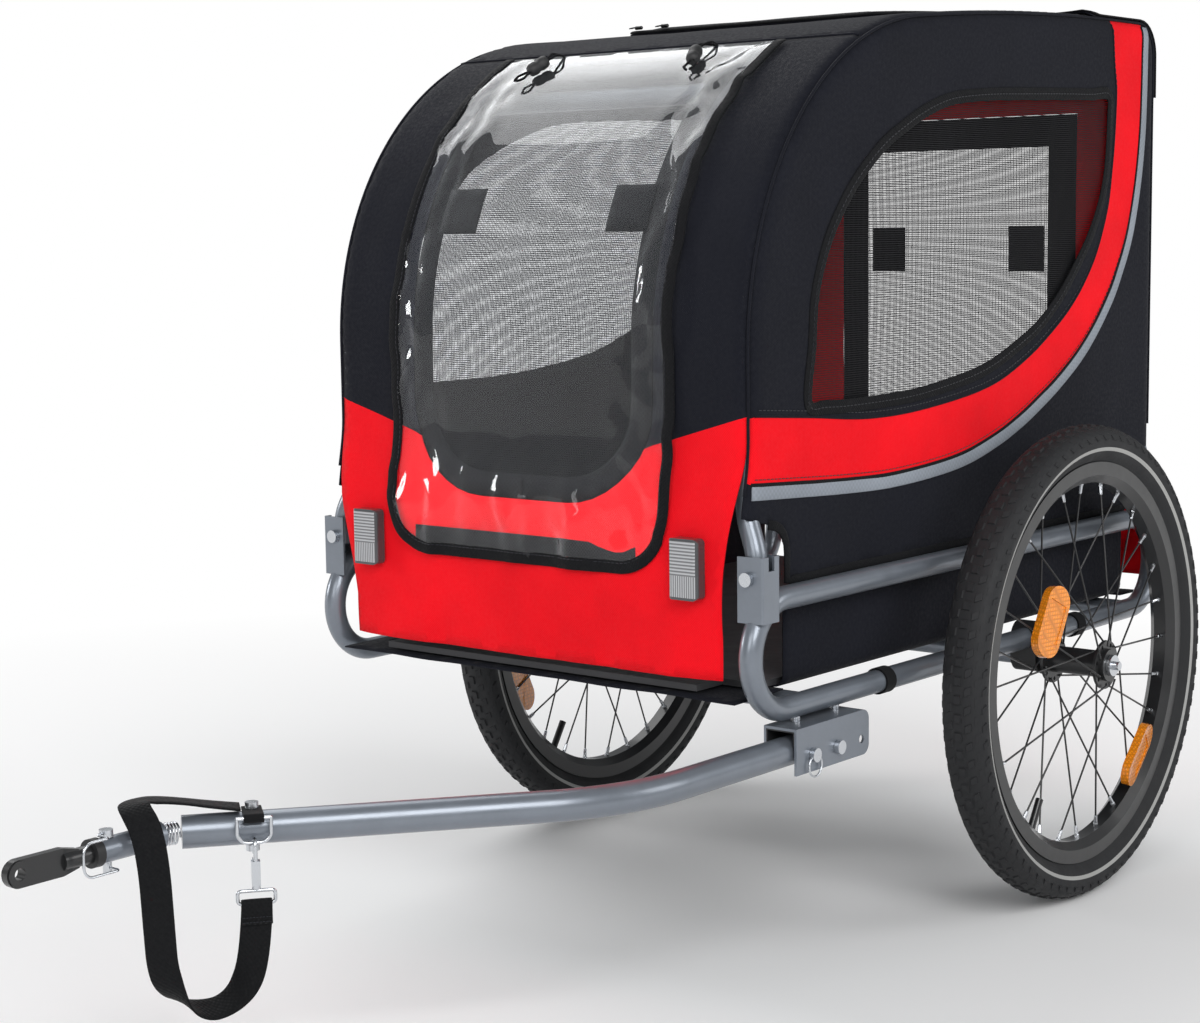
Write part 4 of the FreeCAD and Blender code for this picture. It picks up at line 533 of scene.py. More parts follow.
# ---------------------------------------------------------------- meshes
def new_piece(name, points, faces, materials, zones=None, uv=None, smooth=True):
    """A mesh object at the origin; uv is one pair for each point."""
    mesh = bpy.data.meshes.new(name)
    mesh.from_pydata([tuple(p) for p in points], [], [tuple(f) for f in faces])
    for material in materials:
        mesh.materials.append(material)
    if zones is not None:
        mesh.polygons.foreach_set("material_index", np.asarray(zones, np.int32))
    if uv is not None:
        layer = mesh.uv_layers.new(name="UVMap")
        order = np.zeros(len(mesh.loops), np.int32)
        mesh.loops.foreach_get("vertex_index", order)
        layer.data.foreach_set("uv", np.asarray(uv, np.float32)[order].ravel())
    mesh.polygons.foreach_set("use_smooth", np.full(len(mesh.polygons), smooth))
    mesh.update()
    return show(name, mesh)


def turned_out(piece):
    """The piece with all its faces turned outwards."""
    mesh = bmesh.new()
    mesh.from_mesh(piece.data)
    bmesh.ops.recalc_face_normals(mesh, faces=mesh.faces)
    mesh.to_mesh(piece.data)
    mesh.free()
    return piece


def baked(piece):
    """The piece with its modifiers made into plain mesh."""
    bpy.context.view_layer.update()
    graph = bpy.context.evaluated_depsgraph_get()
    mesh = bpy.data.meshes.new_from_object(piece.evaluated_get(graph), preserve_all_data_layers=True,
                                           depsgraph=graph)
    old = piece.data
    piece.modifiers.clear()
    piece.data = mesh
    bpy.data.meshes.remove(old)
    mesh.name = piece.name
    return piece


def thickened(piece, thickness, offset=-1.0, inner_step=0):
    """The sheet with its thickness; inner_step steps the inner face on to a later material."""
    wall = piece.modifiers.new("wall", "SOLIDIFY")
    wall.thickness = thickness * MM
    wall.offset = offset
    wall.material_offset = inner_step
    return baked(piece)


def joined(name, pieces):
    """Several pieces as one object."""
    total = bmesh.new()
    total.loops.layers.uv.new("UVMap")
    materials = list(dict.fromkeys(material for piece in pieces for material in piece.data.materials))
    mesh = bpy.data.meshes.new(name)
    for material in materials:
        mesh.materials.append(material)
    for piece in pieces:
        first = len(total.faces)
        total.from_mesh(piece.data)
        total.faces.ensure_lookup_table()
        for face in total.faces[first:]:
            face.material_index = materials.index(piece.data.materials[face.material_index])
    total.to_mesh(mesh)
    total.free()
    for piece in pieces:
        bpy.data.objects.remove(piece)
    return show(name, mesh)


def smooth_line(points, step=8.0, closed=False):
    """A smooth line through places, with points about step apart."""
    places = np.asarray(points, float)
    if closed:
        places = np.concatenate([places[-1:], places, places[:2]])
    else:
        places = np.concatenate([[2 * places[0] - places[1]], places, [2 * places[-1] - places[-2]]])
    line = []
    for p0, p1, p2, p3 in zip(places, places[1:], places[2:], places[3:]):
        parts = max(1, int(round(np.linalg.norm(p2 - p1) / step)))
        for t in np.arange(parts) / parts:
            line.append(0.5 * (2 * p1 + (p2 - p0) * t + (2 * p0 - 5 * p1 + 4 * p2 - p3) * t * t
                               + (3 * p1 - p0 - 3 * p2 + p3) * t ** 3))
    if not closed:
        line.append(places[-2])
    return np.array(line)


def straight_line(points, step=8.0, closed=False):
    """The corners of a line with points added about step apart."""
    places = [np.asarray(p, float) for p in points]
    if closed:
        places.append(places[0])
    line = []
    for first, last in zip(places, places[1:]):
        parts = max(1, int(round(np.linalg.norm(last - first) / step)))
        line += [first + (last - first) * k / parts for k in range(parts)]
    if not closed:
        line.append(places[-1])
    return np.array(line)


def u_corners(half, low, corner, count):
    """The rounded lower corners of a U, from its left to its right."""
    turn = np.linspace(0, QUARTER, count)
    right = [(half - corner + corner * math.sin(a), low + corner - corner * math.cos(a)) for a in turn]
    return [(-x, y) for x, y in reversed(right)] + right


def rounded_u(half, low, high, corner):
    """A closed outline with two rounded lower corners, as points across and along."""
    return straight_line([(half, high), (-half, high)] + u_corners(half, low, corner, 10), closed=True)


def open_u(half, low, high, corner, step):
    """A line down one side, round two corners and up the other side."""
    return straight_line([(-half, high)] + u_corners(half, low, corner, 14) + [(half, high)], step)


def rectangle(half, low, high, step=8.0):
    return straight_line([(half, low), (half, high), (-half, high), (-half, low)], step, True)


def inside(points, ring):
    """Which points lie inside a closed ring."""
    x, y = points[:, 0][:, None], points[:, 1][:, None]
    x1, y1 = ring[:, 0][None], ring[:, 1][None]
    x2, y2 = np.roll(ring[:, 0], -1)[None], np.roll(ring[:, 1], -1)[None]
    crosses = (y1 > y) != (y2 > y)
    reach = x1 + (y - y1) * (x2 - x1) / np.where(y2 == y1, 1e-9, y2 - y1)
    return (crosses & (x < reach)).sum(1) % 2 == 1


def distance_to(points, line, closed=False):
    """The least distance from each point to a line."""
    first, last = (line, np.roll(line, -1, axis=0)) if closed else (line[:-1], line[1:])
    along = last - first
    size = np.maximum((along ** 2).sum(1), 1e-9)
    best = np.full(len(points), 1e9)
    batch = 2000
    for start in range(0, len(points), batch):
        part = points[start:start + batch]
        t = np.clip(((part[:, None] - first[None]) * along[None]).sum(2) / size[None], 0, 1)
        near = first[None] + along[None] * t[..., None]
        best[start:start + batch] = np.sqrt(((part[:, None] - near) ** 2).sum(2)).min(1)
    return best


def cut_cloth(outline, holes=(), creases=(), spacing=10.0):
    """Points and triangles of a flat pattern, whose outline, holes and creases are edges."""
    loops = [np.asarray(outline)] + [np.asarray(hole) for hole in holes]
    points, edges = [], []
    for loop in loops:
        base = len(points)
        points += list(loop)
        edges += [(base + k, base + (k + 1) % len(loop)) for k in range(len(loop))]
    for crease in creases:
        base = len(points)
        points += list(crease)
        edges += [(base + k, base + k + 1) for k in range(len(crease) - 1)]

    def within(spots):
        keep = inside(spots, loops[0])
        for hole in loops[1:]:
            keep &= ~inside(spots, hole)
        return keep

    low, high = loops[0].min(0), loops[0].max(0)
    across = np.arange(low[0] + spacing / 2, high[0], spacing)
    along = np.arange(low[1] + spacing / 2, high[1], spacing * 0.866)
    grid = np.array([(a + (k % 2) * spacing / 2, b) for k, b in enumerate(along) for a in across])
    grid = grid[within(grid)]
    fixed = np.array(points)
    near = np.full(len(grid), 1e9)
    batch = 200
    for start in range(0, len(fixed), batch):
        gap = np.sqrt(((grid[:, None] - fixed[None, start:start + batch]) ** 2).sum(2)).min(1)
        near = np.minimum(near, gap)
    points += list(grid[near > spacing * 0.55])
    found = delaunay_2d_cdt([Vector(p) for p in points], edges, [], 0, 1e-6)
    places = np.array([tuple(p) for p in found[0]])
    faces = np.array([tuple(f) for f in found[2] if len(f) == 3])
    faces = faces[within(places[faces].mean(1))]
    used = np.unique(faces)
    order = np.full(len(places), -1)
    order[used] = np.arange(len(used))
    return places[used], order[faces]


def cloth_piece(name, pattern, place, materials, zone=None, flip=False, thickness=1.4, inner_step=0):
    """A cut pattern laid on its surface and given the cloth's thickness, or left thin if that is 0."""
    places, faces = pattern
    zones = zone(places[faces].mean(1)) if zone else None
    faces = faces[:, ::-1] if flip else faces
    made = new_piece(name, place(places), faces, materials, zones, places * MM)
    return thickened(made, thickness, inner_step=inner_step) if thickness else made


def declare(piece, pattern, held, rests_on, with_pieces=()):
    """Names a cut pattern's piece as a sheet, with its flat size and area."""
    places, faces = pattern
    a, b, c = (places[faces[:, k]] * MM for k in range(3))
    area = np.abs((b - a)[:, 0] * (c - a)[:, 1] - (b - a)[:, 1] * (c - a)[:, 0]).sum() / 2
    wide, long = (places.max(0) - places.min(0)) * MM
    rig.sheet(piece, flat=(float(wide), float(long)), held=held, rests_on=rests_on, area=float(area),
             with_pieces=list(with_pieces))


def ripple(points, size, reach, seed):
    """Soft uneven folds, from -reach to reach, over points in millimetres."""
    offset = Vector((seed * 7.31, seed * 3.17, seed * 1.7))
    return np.array([noise.noise(Vector((p[0] / size, p[1] / size, 0)) + offset) for p in points]) * reach


def ring_faces(count, size, closed=False, flip=False):
    """Faces from each ring of points to the next, with caps where the row of rings is open."""
    faces = []
    for k in range(count if closed else count - 1):
        a, b = k * size, (k + 1) % count * size
        for j in range(size):
            n = (j + 1) % size
            faces.append((a + j, b + j, b + n, a + n) if flip else (a + j, a + n, b + n, b + j))
    if not closed:
        first, last = tuple(range(size)), tuple(range((count - 1) * size, count * size))
        faces += [first, last[::-1]] if flip else [first[::-1], last]
    return faces


def swept(line, wide, face, section, shift=0.0):
    """Points and uv of a section, as (across, up) pairs, carried along a line."""
    points = [line[k] + wide[k] * across + face[k] * up for k in range(len(line)) for across, up in section]
    uv = [(run, across + shift) for run in runs(line) for across, _ in section]
    return points, uv


def ribbon(name, line, normals, width, thickness, material, closed=False):
    """A flat tape along a line in space, with rounded edges and its face along the normals."""
    line, normals = np.asarray(line, float), np.asarray(normals, float)
    ahead = np.roll(line, -1, 0) - np.roll(line, 1, 0)
    if not closed:
        ahead[0], ahead[-1] = line[1] - line[0], line[-1] - line[-2]
    side = unit(np.cross(unit(ahead), normals))
    half, thick = width * MM / 2, thickness * MM
    section = [(-half, 0), (-half, thick * 0.6), (-half + thick * 0.7, thick), (0, thick * 1.15),
               (half - thick * 0.7, thick), (half, thick * 0.6), (half, 0)]
    points, uv = swept(line, side, normals, section, half)
    return new_piece(name, points, ring_faces(len(line), len(section), closed), [material], None, uv)


def cord_tube(name, line, radius, material, sides=8):
    """A round cord along a line in space."""
    line, radius = np.asarray(line, float), radius * MM
    ahead = unit(np.gradient(line, axis=0))
    up = np.array([0.0, 0.0, 1.0]) if abs(ahead[0][2]) < 0.9 else np.array([1.0, 0, 0])
    points, uv = [], []
    for spot, heading, run in zip(line, ahead, runs(line)):
        up = up - heading * up.dot(heading)
        up /= np.linalg.norm(up)
        side = np.cross(heading, up)
        for j in range(sides):
            turn = 2 * math.pi * j / sides
            points.append(spot + (up * math.cos(turn) + side * math.sin(turn)) * radius)
            uv.append((run, radius * turn))
    return new_piece(name, points, ring_faces(len(line), sides, flip=True), [material], None, uv)


def turned(sections, centre, along, sides, scale=1.0):
    """Points and faces of a turned piece: (distance along, radius) pairs about a line."""
    along = Vector(along).normalized()
    first = along.orthogonal().normalized()
    second = along.cross(first)
    points = []
    for reach, radius in sections:
        for k in range(sides):
            a = 2 * math.pi * k / sides
            out = first * math.cos(a) + second * math.sin(a)
            points.append(Vector(centre) + along * reach * scale + out * radius * scale)
    return points, ring_faces(len(sections), sides)


# ---------------------------------------------------------------- the cabin's profile
FRONT_Y, REAR_Y, ROOF_Z = -503.0, 288.0, 931.0
FOOT_Y, FOOT_Z, FLARE_Z, PANEL_LOW = -515.0, 430.0, 520.0, 300.0
CURVE_R, CORNER_R, FLAT = 316.0, 38.0, 45.57
PITCH = math.radians(5.5)
CURVE_Y = FRONT_Y + CURVE_R
CROWN_END = REAR_Y - CORNER_R - FLAT
CROWN_R = (CROWN_END - (CURVE_Y - CURVE_R * math.sin(PITCH))) / math.sin(PITCH)
CURVE_Z = ROOF_Z - CROWN_R + (CROWN_R - CURVE_R) * math.cos(PITCH)
HALF, SEAM_X, SEAM_IN, HOOP_X, HOOP_INNER_X = 260.0, 255.5, 4.0, 247.5, 232.0


def build_profile():
    """The cabin's outline from the front's foot over the roof to the rear's foot."""
    step = 2.0
    z = np.arange(PANEL_LOW, CURVE_Z, step)
    t = np.clip((z - FOOT_Z) / (FLARE_Z - FOOT_Z), 0, 1)
    a = np.linspace(0, QUARTER - PITCH, 240)
    b = np.linspace(-PITCH, 0, 200)[1:]
    c = np.linspace(QUARTER, 0, 40)
    back = np.arange(CROWN_END + step, REAR_Y - CORNER_R, step)
    down = np.arange(ROOF_Z - CORNER_R - step, PANEL_LOW, -step)
    parts = (
        (FOOT_Y + (FRONT_Y - FOOT_Y) * t * t * (3 - 2 * t), z),
        (CURVE_Y - CURVE_R * np.cos(a), CURVE_Z + CURVE_R * np.sin(a)),
        (CROWN_END + CROWN_R * np.sin(b), ROOF_Z - CROWN_R + CROWN_R * np.cos(b)),
        (back, np.full(len(back), ROOF_Z)),
        (REAR_Y - CORNER_R + CORNER_R * np.cos(c), ROOF_Z - CORNER_R + CORNER_R * np.sin(c)),
        (np.full(len(down), REAR_Y), down))
    return np.concatenate([np.stack(part, 1) for part in parts])


PROFILE = build_profile()
PROFILE_RUN = runs(PROFILE)
profile_ahead = unit(np.gradient(PROFILE, axis=0))
PROFILE_OUT = np.stack([-profile_ahead[:, 1], profile_ahead[:, 0]], 1)
RUN_END = PROFILE_RUN[-1]
ON_FRONT, ON_ROOF, ON_REAR = PROFILE[:, 0] < CURVE_Y - 200, PROFILE[:, 1] > 890, PROFILE[:, 0] > REAR_Y - 0.5


def run_where(part, away):
    """The run along one part of the profile, where a distance is least."""
    return float(PROFILE_RUN[np.argmin(np.where(part, away, 1e9))])


def run_at_front(z):
    return run_where(ON_FRONT, abs(PROFILE[:, 1] - z))


def run_at_angle(degrees):
    """The run at an angle of the front's curve."""
    a = math.radians(degrees)
    spot = np.array([CURVE_Y - CURVE_R * math.cos(a), CURVE_Z + CURVE_R * math.sin(a)])
    return run_where(True, ((PROFILE - spot) ** 2).sum(1))


def run_at_roof(y):
    return run_where(ON_ROOF, abs(PROFILE[:, 0] - y))


def run_at_rear(z):
    return run_where(ON_REAR, abs(PROFILE[:, 1] - z))


def out_of_profile(run):
    """The way the cabin faces at runs along its profile."""
    y, z = (np.interp(run, PROFILE_RUN, PROFILE_OUT[:, k]) for k in (0, 1))
    return np.stack([np.zeros_like(y), y, z], 1)


def on_profile(p, offset=0.0):
    """Places on the front, roof or rear, from points across and along, offset outwards."""
    out = out_of_profile(p[:, 1])
    y, z = (np.interp(p[:, 1], PROFILE_RUN, PROFILE[:, k]) + out[:, k + 1] * offset for k in (0, 1))
    return set_down(p[:, 0], y, z)


def spot_on(x, run, offset):
    """One place on the front, roof or rear, and the way it faces."""
    return on_profile(np.array([(x, run)]), offset)[0], out_of_profile(np.array([run]))[0]


def edge_fall(x):
    """How far the front and roof fall round the hoops towards the seam at the cabin's edge."""
    return -SEAM_IN * np.clip((np.abs(x) - HOOP_X) / (SEAM_X - HOOP_X), 0, 1.2) ** 2


def slack_between(x):
    """1 between the hoops, where cloth is free to sag, and 0 over them."""
    easing = 30
    return np.clip((HOOP_INNER_X - np.abs(x)) / easing, 0, 1)


def front_edge_x(z):
    """Half the front panel's width at a height: narrow between the brackets."""
    narrow_z, wide_z = 335, 530
    t = np.clip((z - narrow_z) / (wide_z - narrow_z), 0, 1)
    return HOOP_INNER_X + (SEAM_X - HOOP_INNER_X) * t * t * (3 - 2 * t)


# ---------------------------------------------------------------- cabin cloth
FOLD_ANCHOR = tuple(at(0, 0, 386))
SEAM_RUN = run_at_angle(66)
RED_TOP = run_at_front(540)
DOOR_TOP, DOOR_LOW = run_at_angle(64.5), run_at_front(452)
DOOR_HALF, DOOR_CORNER, DOOR_FIT = 150.0, 95.0, 0.6
COVER_TOP, COVER_LOW = DOOR_TOP, run_at_front(392)
REAR_TOP, REAR_LOW = run_at_rear(832), run_at_rear(405)
REAR_HALF, REAR_CORNER = 161.0, 70.0
BOTH_HOOPS = ["hoop_left", "hoop_right"]


def fasten(piece, body, slot, *replaced, folds=False):
    """A piece rides its body, and cloth of the cabin goes flat as the hoops fold."""
    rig.ride(piece, body)
    if folds:
        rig.squash(piece, "hoop_right_fold", axis=(0, 0, 1), anchor=FOLD_ANCHOR, keep=0.3)
    if replaced:
        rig.replaces(piece, *replaced)
    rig.slot(piece, slot)
    return piece


def hold_cloth(piece, body, *replaced, slot="black_fabric"):
    return fasten(piece, body, slot, *replaced, folds=True)


def profile_tape(name, line, lift, width, thickness):
    """Binding tape along a line on the front, roof or rear."""
    return ribbon(name, on_profile(line, lift), out_of_profile(line[:, 1]), width, thickness, TAPE)


def red_top(x):
    """Where the front's red ends: higher towards the cabin's edges."""
    return RED_TOP - 0.29 * (SEAM_X - np.abs(x))


def rear_ring(inset, corner):
    """The rear door's outline, drawn in by an inset."""
    half, low, high = REAR_HALF - inset, REAR_LOW - inset, REAR_TOP + inset
    turn = np.linspace(0, QUARTER, 9)
    right = [(half - corner + corner * math.cos(a), low - corner + corner * math.sin(a)) for a in turn]
    left = [(-x, y) for x, y in reversed(right)]
    return straight_line([(-half, high), (half, high)] + right + left, 9.0, True)


def front_panel():
    edge_run = straight_line([(0, 0), (0, SEAM_RUN)])[:, 1]
    wide = front_edge_x(np.interp(edge_run, PROFILE_RUN, PROFILE[:, 1]))
    right = np.stack([wide, edge_run], 1)
    left = np.stack([-wide, edge_run], 1)[::-1]
    bottom = straight_line([(-wide[0], 0), (wide[0], 0)])[1:-1]
    top = straight_line([(wide[-1], SEAM_RUN), (-wide[-1], SEAM_RUN)])[1:-1]
    outline = np.concatenate([right, top, left, bottom])
    hole = rounded_u(DOOR_HALF + DOOR_FIT, DOOR_LOW - DOOR_FIT, DOOR_TOP + DOOR_FIT, DOOR_CORNER + DOOR_FIT)
    outer, inner = SEAM_X - 1.0, DOOR_HALF + 2 * DOOR_FIT
    ends = (outer, red_top(outer)), (inner, red_top(inner))
    borders = [straight_line([(-x, run) for x, run in ends]), straight_line(ends[::-1])]
    pattern = cut_cloth(outline, [hole], borders, 9.0)

    def place(p):
        sway = ripple(p, 95, 2.6, 1) + ripple(p, 38, 0.9, 2)
        low_edge = np.clip(1 - p[:, 1] / 60, 0, 1)
        sway += ripple(p * (1, 0.3), 24, 2.2, 3) * low_edge
        sway *= np.where(p[:, 1] > 150, slack_between(p[:, 0]), 1)
        corner = np.clip((np.abs(p[:, 0]) - 170) / 62, 0, 1) * np.clip((140 - p[:, 1]) / 100, 0, 1)
        held = np.clip((SEAM_RUN - p[:, 1]) / 40, 0, 1)
        return on_profile(p, edge_fall(p[:, 0]) + (sway - 7 * corner ** 2) * held)

    made = cloth_piece("front_panel_cloth", pattern, place, [NAVY, RED, INNER_FACE_CLOTH, INNER_FACE_CLOTH],
                       lambda m: (m[:, 1] < red_top(m[:, 0])).astype(int), inner_step=2)
    hold_cloth(made, "chassis", "front_panel", slot="red_fabric")
    declare(made, pattern, "stretched", BOTH_HOOPS)


def roof_panel():
    end = run_at_rear(868)
    hole = rectangle(145, run_at_roof(-128), run_at_roof(96))
    pattern = cut_cloth(rectangle(SEAM_X, SEAM_RUN, end), [hole])

    def place(p):
        held = np.clip((p[:, 1] - SEAM_RUN) / 30, 0, 1)
        dip = -3.2 * np.sin(np.clip((p[:, 1] - SEAM_RUN) / (end - SEAM_RUN), 0, 1) * math.pi)
        dip *= 1 - (p[:, 0] / SEAM_X) ** 2
        loose = held * slack_between(p[:, 0])
        return on_profile(p, edge_fall(p[:, 0]) + (ripple(p, 110, 2.0, 5) + dip) * loose)

    made = cloth_piece("roof_cloth", pattern, place, [NAVY])
    hold_cloth(made, "chassis", "roof_panel")
    declare(made, pattern, "stretched", BOTH_HOOPS)


def rear_panel():
    start = run_at_rear(866)
    hole = rear_ring(-DOOR_FIT, REAR_CORNER + DOOR_FIT)
    pattern = cut_cloth(rectangle(SEAM_X, start, RUN_END, 9.0), [hole], spacing=11.0)

    def place(p):
        held = np.clip((p[:, 1] - start) / 30, 0, 1)
        return on_profile(p, edge_fall(p[:, 0]) + ripple(p, 90, 2.0, 8) * held * slack_between(p[:, 0]))

    made = cloth_piece("rear_panel_cloth", pattern, place, [RED])
    hold_cloth(made, "chassis", "rear_panel", slot="red_fabric")
    declare(made, pattern, "stretched", BOTH_HOOPS)


# Lines of the side panels, as (y, z)
WINDOW = [(-410, 546), (-404, 600), (-400, 640), (-390, 672), (-371, 707), (-348, 735), (-320, 760),
          (-282, 785), (-239, 805), (-198, 820), (-154, 831), (-90, 837), (-20, 840), (60, 843), (130, 845),
          (172, 846), (176, 820), (170, 761), (148, 716), (114, 674), (75, 636), (30, 603), (-28, 579),
          (-90, 560), (-160, 549), (-237, 542), (-326, 540), (-380, 541)]
BAND_IN = [(-505, 541), (-410, 534), (-306, 526), (-200, 529), (-90, 541), (-20, 560), (39, 586), (90, 618),
           (132, 657), (160, 698), (179, 741), (188, 795), (190, 845), (184, 880), (177, 935)]
BAND_OUT = [(-505, 479), (-342, 470), (-254, 469), (-141, 477), (-61, 494), (0, 514), (60, 542), (112, 574),
            (161, 616), (196, 655), (222, 698), (238, 750), (247, 805), (250, 860), (251, 935)]
PIPE_OUT = [(-505, 464), (-342, 456), (-254, 455), (-137, 463), (-55, 481), (7, 501), (68, 530), (121, 563),
            (171, 606), (207, 646), (234, 692), (250, 746), (259, 802), (262, 860), (263, 935)]
BAND_FRONT = -520


def side_outline():
    """The side panel, with its lower corners cut out round the hoop brackets."""
    notch, low, rear_top, front_top = 28.0, 386, 448, 440
    rear_y, front_y = REAR_Y - 66, FRONT_Y + 60
    ring = PROFILE[PROFILE[:, 1] > rear_top]
    ahead = unit(np.gradient(ring, axis=0))
    ring = (ring + np.stack([ahead[:, 1], -ahead[:, 0]], 1) * SEAM_IN)[::4]
    turn = np.linspace(0, QUARTER, 6)
    rear = [(rear_y + notch - notch * math.sin(a), rear_top - notch + notch * math.cos(a)) for a in turn]
    front = [(front_y - notch + notch * math.sin(a), front_top - notch + notch * math.cos(a)) for a in turn]
    front[0] = (front_y - notch - 4, front_top + 1)
    return np.concatenate([ring, np.array(rear), straight_line([(rear_y, low), (front_y, low)]),
                           np.array(front)[::-1]])


SIDE_OUTLINE = side_outline()
SIDE_RING = PROFILE[PROFILE[:, 1] > 430]


def side_x(p):
    """How far out the side cloth stands: rounded at its seams, a little slack between them."""
    round_off, taut, easing, hollow = 15, 26, 60, 1.2
    hem_top, hem_reach = 470, 80
    depth = distance_to(p, SIDE_RING)
    fall = (HALF - SEAM_X) * (1 - np.clip((depth - SEAM_IN) / round_off, 0, 1)) ** 2
    slack = np.clip((depth - taut) / easing, 0, 1)
    sag = (ripple(p, 130, 2.2, 11) + ripple(p, 45, 0.7, 12)) * slack
    lower = np.clip((hem_top - p[:, 1]) / hem_reach, 0, 1)
    return HALF - fall + sag - hollow * slack + lower * ripple(p, 60, 2.0, 13)


def side_line(line, side, lift=0.0):
    """A line on the side cloth, and the way it faces."""
    places = set_down((side_x(line) + lift) * side, line[:, 0], line[:, 1])
    return places, np.tile(np.array([float(side), 0, 0]), (len(line), 1))


def in_side(line, margin=2.0):
    """The part of a line that lies on the side panel."""
    return line[inside(line, SIDE_OUTLINE) & (distance_to(line, SIDE_OUTLINE, True) > margin)]


def side_panel(side, name):
    lines = [smooth_line(line) for line in (BAND_IN, BAND_OUT, PIPE_OUT)]
    creases = [in_side(line, 3.0) for line in lines]
    pattern = cut_cloth(SIDE_OUTLINE, [smooth_line(WINDOW, closed=True)], creases, 9.0)
    upper, lower = (BAND_FRONT, BAND_IN[0][1]), (BAND_FRONT, BAND_OUT[0][1])
    band = np.concatenate([[upper], lines[0], lines[1][::-1], [lower]])
    made = cloth_piece("side_cloth_" + name, pattern, lambda p: side_line(p, side)[0],
                       [NAVY, RED, INNER_FACE_CLOTH, INNER_FACE_CLOTH], lambda m: inside(m, band).astype(int),
                       flip=side < 0, inner_step=2)
    hold_cloth(made, "chassis", "side_panel_" + name)
    declare(made, pattern, "stretched", ["hoop_" + name], [side_trims(side, name)])


def side_trims(side, name):
    """Window binding, reflective piping and the edge bindings of a side panel."""
    step = 6.0
    pipe = (np.array(BAND_OUT) + np.array(PIPE_OUT)) / 2
    hem = SIDE_OUTLINE[(SIDE_OUTLINE[:, 1] < 446) & (distance_to(SIDE_OUTLINE, SIDE_RING) > 6)]
    tapes = (("window_binding", smooth_line(WINDOW, step, True), 0.1, 13, 1.1, TAPE, True),
             ("piping", in_side(smooth_line(pipe, step)), 0.1, 12.5, 1.3, PIPING, False),
             ("piping_edge", in_side(smooth_line(BAND_OUT, step)), 0.1, 4, 0.9, TAPE, False),
             ("band_seam", in_side(smooth_line(BAND_IN, step)), 0.05, 2.2, 0.7, NAVY, False),
             ("hem_binding", hem, -0.6, 9, 1.6, TAPE, False))
    made = [ribbon(label, *side_line(line, side, lift), width, thickness, material, closed)
            for label, line, lift, width, thickness, material, closed in tapes]
    return hold_cloth(joined("side_trims_" + name, made), "chassis", slot="webbing")


def net(name, pattern, place, body, node, flip=False):
    """A net, left as a thin sheet."""
    made = cloth_piece(name, pattern, place, [NET], flip=flip, thickness=0)
    return hold_cloth(made, body, node, slot="mesh_fabric")


def window_mesh(side, name):
    window = smooth_line(WINDOW, 9.0, True)
    middle = window.mean(0)
    pattern = cut_cloth(middle + (window - middle) * 1.035, spacing=16.0)
    made = net("window_net_" + name, pattern,
               lambda p: set_down((HALF - 4.6 + ripple(p, 160, 1.2, 17)) * side, p[:, 0], p[:, 1]),
               "chassis", "window_meshes", side < 0)
    declare(made, pattern, "stretched", ["side_panel_" + name])


def seam_roll():
    """Rolled seams where the side panels meet the front, roof and rear, and across the roof's front."""
    run = np.arange(run_at_front(470), run_at_rear(470), 8.0)
    made = []
    for side, _ in SIDES:
        line = np.stack([np.full(len(run), (SEAM_X + 0.6) * side), run], 1)
        made.append(cord_tube("seam", on_profile(line, -SEAM_IN + 0.6), 1.5, NAVY, 6))
    across = np.arange(-252, 252.1, 8.0)
    line = np.stack([across, np.full(len(across), SEAM_RUN)], 1)
    made.append(cord_tube("seam", on_profile(line, edge_fall(across) + 0.4), 1.4, NAVY, 6))
    hold_cloth(joined("cabin_seams", made), "chassis")


# ---------------------------------------------------------------- doors and cover
def door_border(name, body, node, pattern, place, patch_x, patch_run):
    """A door's cloth border with its two square patches."""
    made = [cloth_piece("border", pattern, place, [BORDER])]
    (near, far), (a, b) = patch_x, patch_run
    for side, _ in SIDES:
        corners = [(near * side, a), (far * side, a), (far * side, b), (near * side, b)]
        patch = cut_cloth(straight_line(corners, closed=True), spacing=12.0)
        made.append(cloth_piece("patch", patch, lambda p: on_profile(p, 0.4), [BORDER], thickness=1.0))
    return hold_cloth(joined(name, made), body, node)


def front_door():
    hole = rounded_u(126, DOOR_LOW + 24, DOOR_TOP - 20, 74)
    pattern = cut_cloth(rounded_u(DOOR_HALF, DOOR_LOW, DOOR_TOP, DOOR_CORNER), [hole])

    def place(p):
        held = np.clip((DOOR_TOP - p[:, 1]) / 40, 0, 1)
        return on_profile(p, -0.6 + ripple(p, 90, 1.2, 21) * held)

    rising = slice(0, 520)
    patch_run = np.interp([705, 748], PROFILE[rising, 1], PROFILE_RUN[rising])
    border = door_border("front_door_border_cloth", "front_door", "front_door_border", pattern, place,
                         (82, 130), patch_run)
    pattern = cut_cloth(rounded_u(138, DOOR_LOW + 12, DOOR_TOP - 10, 84), spacing=14.0)
    made = net("front_door_net", pattern, lambda p: on_profile(p, -2.6 + ripple(p, 120, 1.0, 23)),
               "front_door", "front_door_mesh")
    pull = zip_pulls("front_zip_pull", "front_door", [(0.0, DOOR_LOW + 2)], 1.6, (0.001, -0.0006, 0.018))
    declare(made, pattern, "hung", ["front_panel"], [border, pull])


